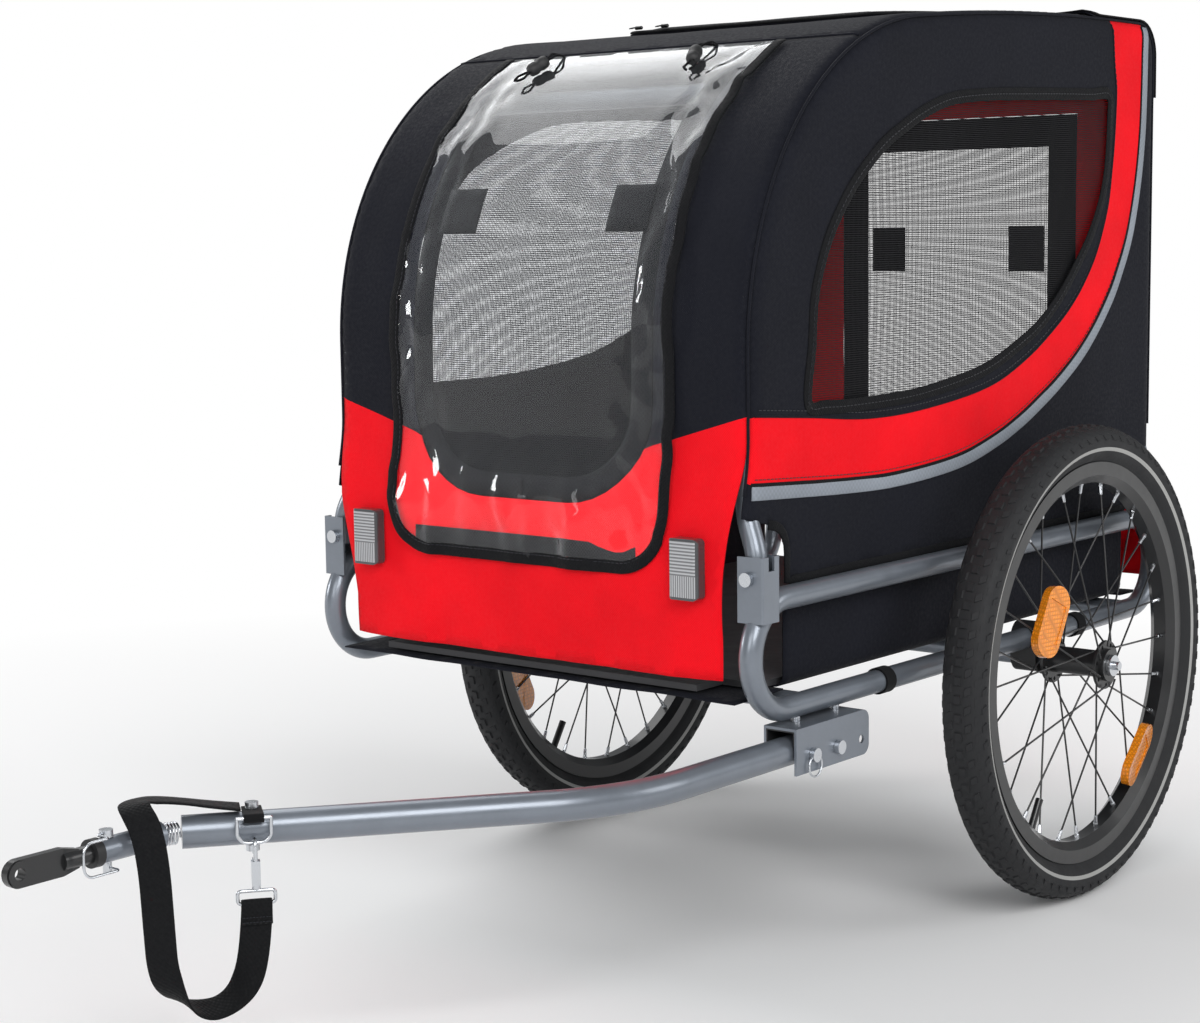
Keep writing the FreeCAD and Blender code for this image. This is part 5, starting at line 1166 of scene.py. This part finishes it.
def cover_lift(p):
    """How far the clear cover stands off the front: taut in its middle, slack folds along its edges."""
    taut_half, taut_low, belly_half, stand_off, least = 95, COVER_LOW + 120, 176, 2.4, -0.6
    held = np.clip((COVER_TOP - p[:, 1]) / 60, 0, 1)
    side = np.clip((np.abs(p[:, 0]) - taut_half) / 45, 0, 1)
    low = np.clip((taut_low - p[:, 1]) / 90, 0, 1)
    slack = np.maximum(side, low)
    folds = ripple(p * (1.4, 0.5), 46, 5.8, 31) + ripple(p * (1.6, 0.8), 24, 1.6, 32)
    folds += 2.0 - np.abs(ripple(p * (1.3, 0.6), 30, 8.0, 36))
    broad = ripple(p, 170, 2.4, 33)
    belly = 5.0 * np.clip((p[:, 1] - COVER_LOW) / 60, 0, 1) * np.clip(1 - (p[:, 0] / belly_half) ** 2, 0, 1)
    return stand_off + np.maximum((belly + broad + folds * slack) * held, least)


def rain_cover():
    pattern = cut_cloth(rounded_u(174, COVER_LOW + 2, COVER_TOP, 53), spacing=7.0)
    sheet = cloth_piece("rain_cover_vinyl", pattern, lambda p: on_profile(p, cover_lift(p)), [VINYL],
                        thickness=0)
    sheet = hold_cloth(thickened(sheet, 0.6, 1.0), "cover", "rain_cover", slot="clear_vinyl")
    line = open_u(172.0, COVER_LOW + 4, COVER_TOP - 1, 52.0, 7.0)
    tape = profile_tape("cover_binding", line, cover_lift(line) + 0.3, 12, 1.6)
    strip_run = run_at_front(403) + 6
    strip = profile_tape("hook_strip", straight_line([(-140, strip_run), (140, strip_run)]), 0.6, 20, 1.0)
    hold_cloth(strip, "chassis", slot="webbing")
    hold_cloth(tape, "cover", slot="webbing")
    declare(sheet, pattern, "hung", ["front_panel"], [tape])


def rear_door():
    pattern = cut_cloth(rear_ring(0, REAR_CORNER), [rear_ring(36, 46)], spacing=11.0)
    border = door_border("rear_door_border_cloth", "rear_door", "rear_door_border", pattern,
                         lambda p: on_profile(p, -0.5 + ripple(p, 90, 0.8, 41)),
                         (72, 119), (run_at_rear(704), run_at_rear(650)))
    pattern = cut_cloth(rear_ring(24, 56), spacing=14.0)
    made = net("rear_door_net", pattern, lambda p: on_profile(p, -2.4 + ripple(p, 120, 0.8, 43)),
               "rear_door", "rear_door_mesh")
    pull = zip_pulls("rear_zip_pull", "rear_door", [(0.0, REAR_LOW - 3)], 1.8, (0.002, 0.0008, -0.02))
    declare(made, pattern, "hung", ["rear_panel"], [border, pull])


def roof_hatch():
    half, low, high = 159, run_at_roof(-142), run_at_roof(110)
    pattern = cut_cloth(rectangle(half, low, high))

    def place(p):
        edge = np.minimum(half - np.abs(p[:, 0]), np.minimum(p[:, 1] - low, high - p[:, 1]))
        crown = 1.5 + 5.5 * np.clip(edge / 22, 0, 1) ** 0.6
        return on_profile(p, crown + ripple(p, 80, 1.4, 51) * np.clip(edge / 30, 0, 1))

    made = cloth_piece("roof_hatch_cloth", pattern, place, [NAVY])
    edge_x = half - 4
    line = straight_line([(edge_x, high - 2), (edge_x, low + 4), (-edge_x, low + 4),
                          (-edge_x, high - 2)], 7.0)
    tape = profile_tape("hatch_binding", line, 2.2, 11, 3.0)
    hold_cloth(made, "hatch", "roof_hatch")
    hold_cloth(tape, "hatch", slot="webbing")
    spots = [(-148.0, run_at_roof(-139)), (-112.0, run_at_roof(-140))]
    pulls = zip_pulls("hatch_zip_pulls", "hatch", spots, 8.5, (0.006, -0.022, -0.003))
    declare(made, pattern, "laid", ["roof_panel"], [tape, pulls])


def rear_flap():
    half, start, end = 256, run_at_roof(128), run_at_rear(845)
    ring = [(half, start + 6), (half, end), (-half, end), (-half, start + 6), (0, start)]
    pattern = cut_cloth(straight_line(ring, 9.0, True), spacing=11.0)

    def place(p):
        lip = np.clip(1 - (p[:, 1] - start) / 26, 0, 1)
        out = np.clip((np.abs(p[:, 0]) - 200) / 56, 0, 1)
        return on_profile(p, 2.2 + edge_fall(p[:, 0]) + 4.5 * lip * out ** 2 + ripple(p, 70, 1.2, 61))

    made = cloth_piece("rear_flap_cloth", pattern, place, [NAVY])
    edge_x = half - 2
    line = straight_line([(edge_x, end - 2), (edge_x, start + 8), (0, start + 3), (-edge_x, start + 8),
                          (-edge_x, end - 2)])
    tape = ribbon("flap_binding", place(line), out_of_profile(line[:, 1]), 9, 1.4, TAPE)
    hold_cloth(made, "chassis", "rear_flap")
    hold_cloth(tape, "chassis", slot="webbing")
    declare(made, pattern, "stretched", ["roof_panel"], [tape])


# ---------------------------------------------------------------- floor
def floor_tub():
    """The floor's cloth with its two side walls, hung between the rails, and an apron at each end."""
    wall_x, floor_z, top_z, corner = 249.6, 284.0, 366.0, 12
    front, rear, rows, easing = -437.0, 236.0, 70, 40
    belly_depth, sway_depth, deepest = 2.4, 2.0, 3.0
    half = [(wall_x, top_z - (top_z - floor_z - corner) * k / 8) for k in range(9)]
    half += [(wall_x - corner + corner * math.cos(a), floor_z + corner - corner * math.sin(a))
             for a in np.linspace(0, QUARTER, 6)[1:]]
    half += [(wall_x - corner - (wall_x - corner) * k / 18, floor_z) for k in range(1, 19)]
    whole = half + [(-x, z) for x, z in reversed(half[:-1])]
    size, run = len(whole), runs(whole)
    points, uv = [], []
    for y in np.linspace(front, rear, rows):
        end = min(1.0, min(y - front, rear - y) / easing)
        for (x, z), along in zip(whole, run):
            wall = np.clip((z - floor_z) / (top_z - floor_z), 0, 1)
            belly = math.sin(wall * math.pi) * belly_depth
            sway = noise.noise(Vector((y / 60, z / 40 + (3 if x > 0 else 9), 0.5))) * sway_depth * wall * end
            bulge = math.copysign(min(belly + sway, deepest), x) * end if wall > 0 else 0
            points.append(at(x + bulge, y, z))
            uv.append((along * MM, y * MM))
    faces = [(a, a + 1, a + size + 1, a + size)
             for j in range(rows - 1) for a in range(j * size, (j + 1) * size - 1)]
    tub = thickened(new_piece("floor_tub_cloth", points, faces, [NAVY], None, uv), 1.4)
    fasten(tub, "chassis", "black_fabric", "floor_tub")
    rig.sheet(tub, flat=(float(run[-1]) * MM, (rear - front) * MM), held="stretched",
             rests_on=["side_loop_left", "side_loop_right"])
    apron_x = 249
    for name, y0, y1 in (("front", front + 0.2, -513.0), ("rear", rear - 0.2, 285.0)):
        ring = straight_line([(-apron_x, y0), (apron_x, y0), (apron_x, y1), (-apron_x, y1)], 10.0, True)
        pattern = cut_cloth(ring, spacing=14.0)

        def place(p):
            hang = np.clip(np.abs(p[:, 1] - y0) / abs(y1 - y0), 0, 1)
            z = floor_z - 1.6 * hang + ripple(p, 60, 1.2, 71) * hang
            return places_of(np.stack([p[:, 0], p[:, 1], z], 1))

        made = turned_out(cloth_piece("floor_apron_" + name, pattern, place, [NAVY]))
        fasten(made, "chassis", "black_fabric", "floor_tub")
        declare(made, pattern, "stretched", ["cross_tubes"])


# ---------------------------------------------------------------- repeated pieces
def scatter(tree, entry, out, spots, copy, turn):
    """The end of a tree: turned copies on its points, made real, with the finish that comes in."""
    placed = fill(tree, add_node(tree, "GeometryNodeInstanceOnPoints"), Points=spots.outputs[0],
                  Instance=copy, Rotation=turn.outputs[0])
    real = fill(tree, add_node(tree, "GeometryNodeRealizeInstances"), Geometry=placed.outputs[0])
    finish = fill(tree, add_node(tree, "GeometryNodeSetMaterial"), Geometry=real.outputs[0],
                  Material=entry["Finish"])
    put(tree, out[0], finish.outputs[0])
    return tree


def copies_tree():
    """Copies of the piece's own mesh, turned about the wheel's axle."""
    tree, entry, out = new_group("copies round the axle", "GeometryNodeTree", [
        ("Geometry", "Geometry", None), ("Count", "Int", 28), ("Phase", "Float", 0.0),
        ("Centre", "Vector", None), ("Finish", "Material", None)], [("Geometry", "Geometry")])
    spots = fill(tree, add_node(tree, "GeometryNodePoints"), Count=entry["Count"], Position=entry["Centre"])
    index = add_node(tree, "GeometryNodeInputIndex").outputs[0]
    turn = math_node(tree, "DIVIDE", math_node(tree, "MULTIPLY", index, 2 * math.pi), entry["Count"])
    angle = fill(tree, add_node(tree, "ShaderNodeCombineXYZ"), X=math_node(tree, "ADD", turn, entry["Phase"]))
    return scatter(tree, entry, out, spots, entry["Geometry"], angle)


def stitch_tree():
    """Short threads along the piece's edges, a fixed step apart."""
    tree, entry, out = new_group("stitches along a seam", "GeometryNodeTree", [
        ("Geometry", "Geometry", None), ("Step", "Float", 0.006), ("Length", "Float", 0.004),
        ("Radius", "Float", 0.0004), ("Finish", "Material", None)], [("Geometry", "Geometry")])
    line = fill(tree, add_node(tree, "GeometryNodeMeshToCurve"), Mesh=entry["Geometry"])
    spots = fill(tree, add_node(tree, "GeometryNodeResampleCurve", mode="LENGTH"), Curve=line.outputs[0],
                 Length=entry["Step"])
    thread = fill(tree, add_node(tree, "GeometryNodeMeshCylinder"), Vertices=5, Radius=entry["Radius"],
                  Depth=entry["Length"])
    heading = add_node(tree, "GeometryNodeInputTangent").outputs[0]
    aim = fill(tree, add_node(tree, "FunctionNodeAlignRotationToVector", axis="Z"), Vector=heading)
    return scatter(tree, entry, out, spots, thread.outputs["Mesh"], aim)


COPIES = copies_tree()
STITCHES = stitch_tree()


def run_tree(piece, tree, **values):
    """The piece with a tree's result, from inputs set by their names."""
    modifier = piece.modifiers.new(tree.name, "NODES")
    modifier.node_group = tree
    for item in tree.interface.items_tree:
        if item.item_type == "SOCKET" and item.in_out == "INPUT" and item.name in values:
            modifier[item.identifier] = values[item.name]
    return baked(piece)


def wheel_copies(name, points, faces, count, phase, centre, material):
    """One piece of a wheel, given about its axle, repeated round it."""
    made = new_piece(name, [Vector(p) * MM for p in points], faces, [material], smooth=False)
    return run_tree(turned_out(made), COPIES, Count=count, Phase=phase, Centre=tuple(centre), Finish=material)


def stitches(name, lines, step=6.0, length=3.8, radius=0.45):
    """Threads along lines in space, as one piece."""
    points, edges = [], []
    for line in lines:
        base = len(points)
        points += [tuple(p) for p in line]
        edges += [(base + k, base + k + 1) for k in range(len(line) - 1)]
    mesh = bpy.data.meshes.new(name)
    mesh.from_pydata(points, edges, [])
    return run_tree(show(name, mesh), STITCHES, Step=step * MM, Length=length * MM, Radius=radius * MM,
                    Finish=THREAD)


# ---------------------------------------------------------------- stitches and small pieces
def seam_stitches():
    """Rows of stitches beside the seams of the side panels and on the cover's binding."""
    step = 6.0
    window = smooth_line(WINDOW, step, True)
    window = np.concatenate([window, window[:1]])
    rows = []
    for side, _ in SIDES:
        for line, rise in ((BAND_IN, 5.5), (BAND_OUT, 5.0)):
            rows.append(side_line(in_side(smooth_line(line, step) + (0, rise), 7.0), side, 0.55)[0])
        rows.append(side_line(window, side, 1.6)[0])
    hold_cloth(stitches("side_stitches", rows), "chassis")
    line = open_u(168.0, COVER_LOW + 8, COVER_TOP - 4, 48.0, step)
    rows = [on_profile(line, cover_lift(line) + 1.9)]
    hold_cloth(stitches("cover_stitches", rows, 5.0, 3.2, 0.4), "cover")


def lathe(name, sections, centre, along, material, sides=14):
    """A turned piece on its own."""
    return new_piece(name, *turned(sections, centre, along, sides, MM), [material])


def toggles():
    """Cord locks with their cords, which hold the cover when it is rolled up."""
    lock = [(-12, 2.5), (-11, 5.6), (-8, 6.6), (-3, 6.9), (0, 5.4), (3, 6.9), (8, 6.6), (11, 5.6), (12, 2.5)]
    made = []
    for side, _ in SIDES:
        spot, out = spot_on(99.0 * side, run_at_angle(57), 13.0)
        down = np.cross([1.0, 0, 0], out)
        down = down if down[2] < 0 else -down
        lean = Vector((0.35 * side, 0, 0)) + Vector(down)
        made.append(lathe("lock", lock, spot, lean, PLASTIC))
        ahead = np.array(lean.normalized())
        across = np.cross(out, ahead)
        top = spot_on(97.0 * side, COVER_TOP - 2, 3.4)[0]
        head, foot = spot - ahead * 0.013, spot + ahead * 0.013
        for shift in (-1, 1):
            aside = across * shift
            line = smooth_line([top, (top + head) / 2 + out * 0.004 + aside * 0.005, head + aside * 0.002,
                                foot + aside * 0.002, foot + ahead * 0.009 + aside * 0.006,
                                foot + ahead * 0.017 + aside * 0.0015], 0.004)
            made.append(cord_tube("cord", line, 1.3, TAPE))
    hold_cloth(joined("cover_toggles", made), "cover")


def zip_pulls(name, body, spots, lift, reach):
    """Zip sliders with their pulls: places across and along, off the cloth, and the pull's reach."""
    slider = [(-5, 1.2), (-4, 2.2), (4, 2.0), (5, 1.0)]
    bends = np.array([(0, 0, 0), (0.6, 0.27, 0.3), (1, 0.73, 0.6), (1, 1, 1)]) * reach
    made = []
    for x, run in spots:
        spot, out = spot_on(x, run, lift)
        made.append(lathe("slider", slider, spot, (1, 0, 0), BLACK_PAINT, 10))
        line = smooth_line(spot + bends, 0.003)
        made.append(ribbon("pull", line, np.tile(out, (len(line), 1)), 5, 1.2, TAPE))
    return hold_cloth(joined(name, made), body)


# ---------------------------------------------------------------- wheels
WHEEL_X, RIM_IN, HUB_R, HUB_X = 322.0, 189.0, 21.5, 30.0
SPOKES, SPOKE_LEAD = 28, math.radians(51.4)
TYRE_HALF = [(204, 11.8), (211.4, 12.6), (214, 15.4), (218, 18.6), (222, 20.8), (226, 22.3), (230, 23.1),
             (234, 23.2), (238, 22.4), (241.5, 20.4), (244.2, 17.0), (246, 12.6), (247, 7.6), (247.4, 2.6)]
TREAD_COUNT, TREAD_ROOT, TREAD_RISE, TREAD_SLOPE, TREAD_SKEW = 84, 0.8, 2.0, 0.78, 1.6
# The crown of the tyre as an ellipse: its middle's radius, and its half width and half height
CROWN_MIDDLE, CROWN_WIDE, CROWN_HIGH = 230, 23.3, 17.3
# Rows of tread blocks: lean from the crown in degrees, half length, half width, stagger
TREAD_ROWS = ((0, 5.0, 4.2, 0.0), (26, 4.6, 4.0, 0.5), (-26, 4.6, 4.0, 0.5), (50, 4.6, 3.6, 0.0),
              (-50, 4.6, 3.6, 0.0), (70, 3.4, 3.2, 0.5), (-70, 3.4, 3.2, 0.5))


def tyre(side, name):
    """Tyre body, turned about the axle, and its tread blocks."""
    section = TYRE_HALF + [(r, -x) for r, x in reversed(TYRE_HALF)]
    turns = 120
    points = [at(WHEEL_X * side + x, r * math.cos(a), AXLE_Z + r * math.sin(a))
              for a in np.arange(turns) * 2 * math.pi / turns for r, x in section]
    made = new_piece("tyre_body_" + name, points, ring_faces(turns, len(section), closed=True), [RUBBER])
    fasten(made, "wheel_" + name, "tyre_rubber", "tyre_" + name)
    faces = [(4, 5, 6, 7), (0, 1, 5, 4), (1, 2, 6, 5), (2, 3, 7, 6), (3, 0, 4, 7)]
    blocks = []
    for lean, long_half, wide_half, stagger in TREAD_ROWS:
        a = math.radians(lean)
        middle = Vector((CROWN_WIDE * math.sin(a), CROWN_MIDDLE + CROWN_HIGH * math.cos(a)))
        out = Vector((math.sin(a) / CROWN_WIDE, math.cos(a) / CROWN_HIGH)).normalized()
        across = Vector((out.y, -out.x))
        points = []
        for lift, shrink in ((-TREAD_ROOT, 1.0), (TREAD_RISE, TREAD_SLOPE)):
            for u, v in ((-1, -1), (1, -1), (1, 1), (-1, 1)):
                x, r = middle + out * lift + across * (u * wide_half * shrink)
                points.append((x, v * long_half * shrink + (TREAD_SKEW * u if lean else 0), r))
        blocks.append(wheel_copies("tread", points, faces, TREAD_COUNT, stagger * 2 * math.pi / TREAD_COUNT,
                                   at(WHEEL_X * side, 0, AXLE_Z), RUBBER))
    fasten(joined("tyre_tread_" + name, blocks), "wheel_" + name, "tyre_rubber")


def nipples(side, name):
    """Spoke nipples at the rim, along the spokes."""
    rings = ((-1.0, 2.7), (2.0, 2.7), (3.0, 2.2), (11.0, 1.9), (12.0, 1.4))
    leading, trailing = 5.0, -2.6
    made = []
    for index in range(4):
        rim_turn = 2 * math.pi * index / SPOKES
        face = 1 if index % 2 == 0 else -1
        lead = 1 if index < 2 else -1
        hub_turn = rim_turn + lead * SPOKE_LEAD
        hub_x = face * (HUB_X + (leading if lead > 0 else trailing))
        inner = Vector((hub_x * side, HUB_R * math.cos(hub_turn), HUB_R * math.sin(hub_turn)))
        outer = Vector((0, RIM_IN * math.cos(rim_turn), RIM_IN * math.sin(rim_turn)))
        made.append(wheel_copies("nipple", *turned(rings, outer, inner - outer, 8), SPOKES // 4, 0.0,
                                 at(WHEEL_X * side, 0, AXLE_Z), ZINC))
    fasten(joined("nipples_" + name, made), "wheel_" + name, "zinc_steel")


# ---------------------------------------------------------------- safety strap
STRAP_ROUTE = [(73.5, -947.0, 249.8), (60.0, -964.0, 253.0), (46.0, -984.0, 258.0), (33.0, -1003.0, 261.0),
               (31.0, -1021.0, 262.0), (46.0, -1031.0, 261.0), (61.0, -1032.0, 246.0), (67.0, -1031.0, 215.0),
               (67.5, -1029.0, 170.0), (67.0, -1026.0, 127.0), (70.0, -1010.0, 101.0), (77.0, -984.0, 90.0),
               (87.0, -963.0, 102.0), (95.0, -955.0, 130.0), (97.3, -953.4, 171.5)]
# The way the strap's width lies at each of these places
STRAP_WIDTH = [(0.79, -0.61, 0), (0.85, -0.5, 0), (0.93, -0.36, 0), (0.94, -0.3, 0), (0.85, 0.35, 0.1),
               (0.5, 0.85, 0.1), (0.65, 0.76, 0), (0.75, 0.66, 0), (0.77, 0.64, 0), (0.78, 0.6, -0.05),
               (0.82, 0.15, -0.3), (0.82, -0.35, -0.42), (0.82, 0.15, -0.25), (0.64, 0.76, 0),
               (0.611, 0.791, 0)]
# The strap's section, as shares of its half width and half thickness
STRAP_SECTION = [(-1, 0.55), (-0.96, 1.0), (-0.5, 1.1), (0, 1.0), (0.5, 1.1), (0.96, 1.0), (1, 0.55),
                 (1, -0.55), (0.96, -1.0), (0.5, -1.1), (0, -1.0), (-0.5, -1.1), (-0.96, -1.0), (-1, -0.55)]


def strap_line():
    """The smooth line of the strap's route."""
    curve = bpy.data.curves.new("strap_route", "CURVE")
    curve.dimensions = "3D"
    curve.resolution_u = 12
    spline = curve.splines.new("NURBS")
    spline.points.add(len(STRAP_ROUTE) - 1)
    for point, place in zip(spline.points, STRAP_ROUTE):
        point.co = (*at(*place), 1)
    spline.order_u = 3
    spline.use_endpoint_u = True
    guide = show("strap_route", curve)
    bpy.context.view_layer.update()
    mesh = bpy.data.meshes.new_from_object(guide.evaluated_get(bpy.context.evaluated_depsgraph_get()))
    line = np.array([tuple(v.co) for v in mesh.vertices])
    bpy.data.meshes.remove(mesh)
    bpy.data.objects.remove(guide)
    return line


def strap():
    """Flat webbing along the route's smooth line, turned as it hangs."""
    line = strap_line()
    near = np.maximum.accumulate([np.argmin(((line - p) ** 2).sum(1)) for p in places_of(STRAP_ROUTE)])
    key = np.array(STRAP_WIDTH, float)
    wide = np.stack([np.interp(np.arange(len(line)), near, key[:, k]) for k in range(3)], 1)
    ahead = unit(np.gradient(line, axis=0))
    wide = unit(wide - ahead * (wide * ahead).sum(1)[:, None])
    half, thick = 12.5 * MM, 0.9 * MM
    section = [(across * half, up * thick) for across, up in STRAP_SECTION]
    points, uv = swept(line, wide, np.cross(ahead, wide), section)
    fold = strap_fold()
    faces = ring_faces(len(line), len(section), flip=True)
    made = turned_out(new_piece("safety_strap_webbing", points, faces, [WEBBING], None, uv))
    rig.blend(made, "tow", "ring_hook", at(62.5, -1029.0, 170.0), at(78.3, -993.4, 128.5))
    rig.replaces(made, "safety_strap")
    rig.slot(made, "webbing")
    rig.cord(made, exit=tuple(at(*STRAP_ROUTE[0])), length=float(runs(line)[-1]), diameter=0.025,
            far_end="object", stiffness="limp", lay="hanging", path=[tuple(p) for p in line],
            with_pieces=[fold])


def strap_fold():
    """The strap's end, folded over the hook's ring and sewn."""
    ring_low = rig.box("snap_hook")[0].z / MM + 1.5
    middle = np.array([*STRAP_ROUTE[-1][:2], ring_low])
    side, along, up = np.array([(0.7915, -0.611, 0.0), (0.611, 0.7915, 0.0), (0.0, 0.0, 1.0)])
    path = [(-1.3, -17.0), (-1.3, -9.0), (-2.1, -3.5)]
    path += [(-2.6 * math.cos(a), 2.6 * math.sin(a)) for a in np.linspace(0, math.pi, 9)]
    path += [(2.1, -3.5), (1.3, -9.0), (1.3, -17.0)]
    line = [middle + side * u + up * v for u, v in path]
    normals = [side * -a[1] + up * a[0] for a in unit(np.gradient(np.array(path), axis=0))]
    fold = ribbon("fold", places_of(line), normals, 24.6, 1.1, WEBBING)
    rows = []
    for face in (-1, 1):
        for height in (-15.0, -11.0):
            ends = [middle + side * face * 2.6 + up * height + along * reach for reach in (-10.5, 10.5)]
            rows.append(places_of(straight_line(ends, 3.0)))
    sewn = stitches("fold_stitches", rows, 2.6, 1.9, 0.35)
    return fasten(joined("strap_end_fold", [fold, sewn]), "ring_hook", "webbing")


# ---------------------------------------------------------------- assembly
LOOKS = {
    PAINT: ["side_loop_left", "side_loop_right", "cross_tubes", "axle_tube", "hoop_brackets", "hoop_left",
            "hoop_right", "spreader_bars", "tow_bracket", "tow_bar", "hitch_tube"],
    ZINC: ["hoop_bolts", "tow_bolt", "tow_spacers", "lock_pin", "strap_bolt", "d_ring", "snap_hook",
           "snap_gate", "hitch_pin", "hitch_bail", "quick_axles", "release_button_left",
           "release_button_right", "coupling_spring"],
    BLACK_PAINT: ["rim_left", "rim_right", "spokes_left", "spokes_right", "hub_left", "hub_right",
                  "hitch_rod"],
    PLASTIC: ["axle_carriers", "tow_liner", "hitch_cap"],
    WEBBING: ["rail_webbing", "ring_tab"],
    AMBER: ["wheel_reflectors_left", "wheel_reflectors_right"],
    CLEAR_LENS: ["front_reflectors"],
    RED_LENS: ["rear_reflectors"],
    BOARD: ["floor_board"],
}


def build():
    for material, names in LOOKS.items():
        for name in names:
            held = frame["nodes"][name].data.materials
            held.clear()
            held.append(material)
    front_panel()
    roof_panel()
    rear_panel()
    for side, name in SIDES:
        for make in (side_panel, window_mesh, tyre, nipples):
            make(side, name)
    for make in (seam_roll, front_door, rain_cover, rear_door, roof_hatch, rear_flap, floor_tub,
                 seam_stitches, toggles, strap):
        make()


# ---------------------------------------------------------------- floor, light and camera
# Each lamp's name, place, size and power
LAMPS = (("key", (3.0, -2.0, 2.6), 2.0, 95.0), ("fill", (0.9, -3.6, 1.9), 1.8, 36.0),
         ("top", (-1.75, 0.75, 3.0), 2.6, 50.0), ("side", (3.2, 2.0, 1.8), 1.6, 30.0),
         ("glint", (-2.8, -1.2, 1.0), 0.6, 16.0))
LAMPS_AIM = Vector((0, 0.3, 0.5))


def studio_floor():
    """A pale floor that runs into the white background."""
    bpy.ops.mesh.primitive_plane_add(size=120.0)
    floor = bpy.context.object
    floor.name = "studio_floor"
    made, tree, shader = new_material("studio floor", Emission_Strength=1.0, Roughness=0.9,
                                      Specular_IOR_Level=0.0)
    place = coordinates(tree, "Object")
    reach = add_node(tree, "ShaderNodeVectorMath", operation="LENGTH")
    put(tree, reach.inputs[0], place)
    far = spread(tree, reach.outputs["Value"], 0.5, 2.1, 0.0, 1.0)
    soft = spread(tree, noise_node(tree, place, 0.8, 2.0), 0.3, 0.7, 0.985, 1.0)
    near = math_node(tree, "MULTIPLY", soft, math_node(tree, "SUBTRACT", 1.0, far))
    fill(tree, shader, Base_Color=toned(tree, (0.88, 0.88, 0.88), near),
         Emission_Color=toned(tree, (1.0, 1.0, 1.0), far))
    floor.data.materials.append(made)
    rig.stage(floor)


def studio_light():
    """A white background that lights less than it shows, a big lamp overhead and softer ones round about."""
    world = bpy.data.worlds.new("studio")
    scene.world = world
    world.use_nodes = True
    tree = world.node_tree
    shown = fill(tree, tree.nodes["Background"], Color=(1, 1, 1, 1), Strength=1.0)
    thread_shade_and_tone = fill(tree, add_node(tree, "ShaderNodeBackground"), Color=(0.95, 0.975, 1, 1), Strength=0.3)
    path = add_node(tree, "ShaderNodeLightPath").outputs
    seen = math_node(tree, "MAXIMUM", path["Is Camera Ray"], path["Is Transmission Ray"])
    mix_shader(tree, seen, thread_shade_and_tone.outputs[0], shown.outputs[0], "World Output")
    for name, place, size, power in LAMPS:
        lamp = bpy.data.lights.new(name, "AREA")
        lamp.energy = power
        lamp.size = size
        holder = show(name, lamp)
        holder.location = place
        holder.rotation_euler = (LAMPS_AIM - holder.location).to_track_quat("-Z", "Y").to_euler()
    scene.view_settings.view_transform = "Standard"


def camera():
    """The photograph's view: place, heading and lens worked out from the wheels and the rails."""
    yaw, pitch, roll = (math.radians(a) for a in (39.49, 6.96, -0.75))
    place = at(1452.9, -2160.5, 706.7)
    up0 = Vector((0, 0, 1))
    ahead0 = Vector((-math.sin(yaw), math.cos(yaw), 0))
    right0 = Vector((math.cos(yaw), math.sin(yaw), 0))
    look = ahead0 * math.cos(pitch) - up0 * math.sin(pitch)
    up = up0 * math.cos(pitch) + ahead0 * math.sin(pitch)
    right = right0 * math.cos(roll) + up * math.sin(roll)
    top = up * math.cos(roll) - right0 * math.sin(roll)
    eye = bpy.data.cameras.new("view")
    eye.sensor_fit = "HORIZONTAL"
    eye.sensor_width = 36.0
    eye.lens = 69.213
    eye.clip_end = 60.0
    holder = show("view", eye)
    holder.matrix_world = Matrix.Translation(place) @ Matrix((right, top, -look)).transposed().to_4x4()
    scene.camera = holder


build()
studio_floor()
studio_light()
camera()
scene_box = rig.bounds()
with open("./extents.json", "w") as out:
    json.dump({"cad": [list(map(float, p)) for p in cad_box], "visual": [list(map(float, p)) for p in scene_box]}, out)
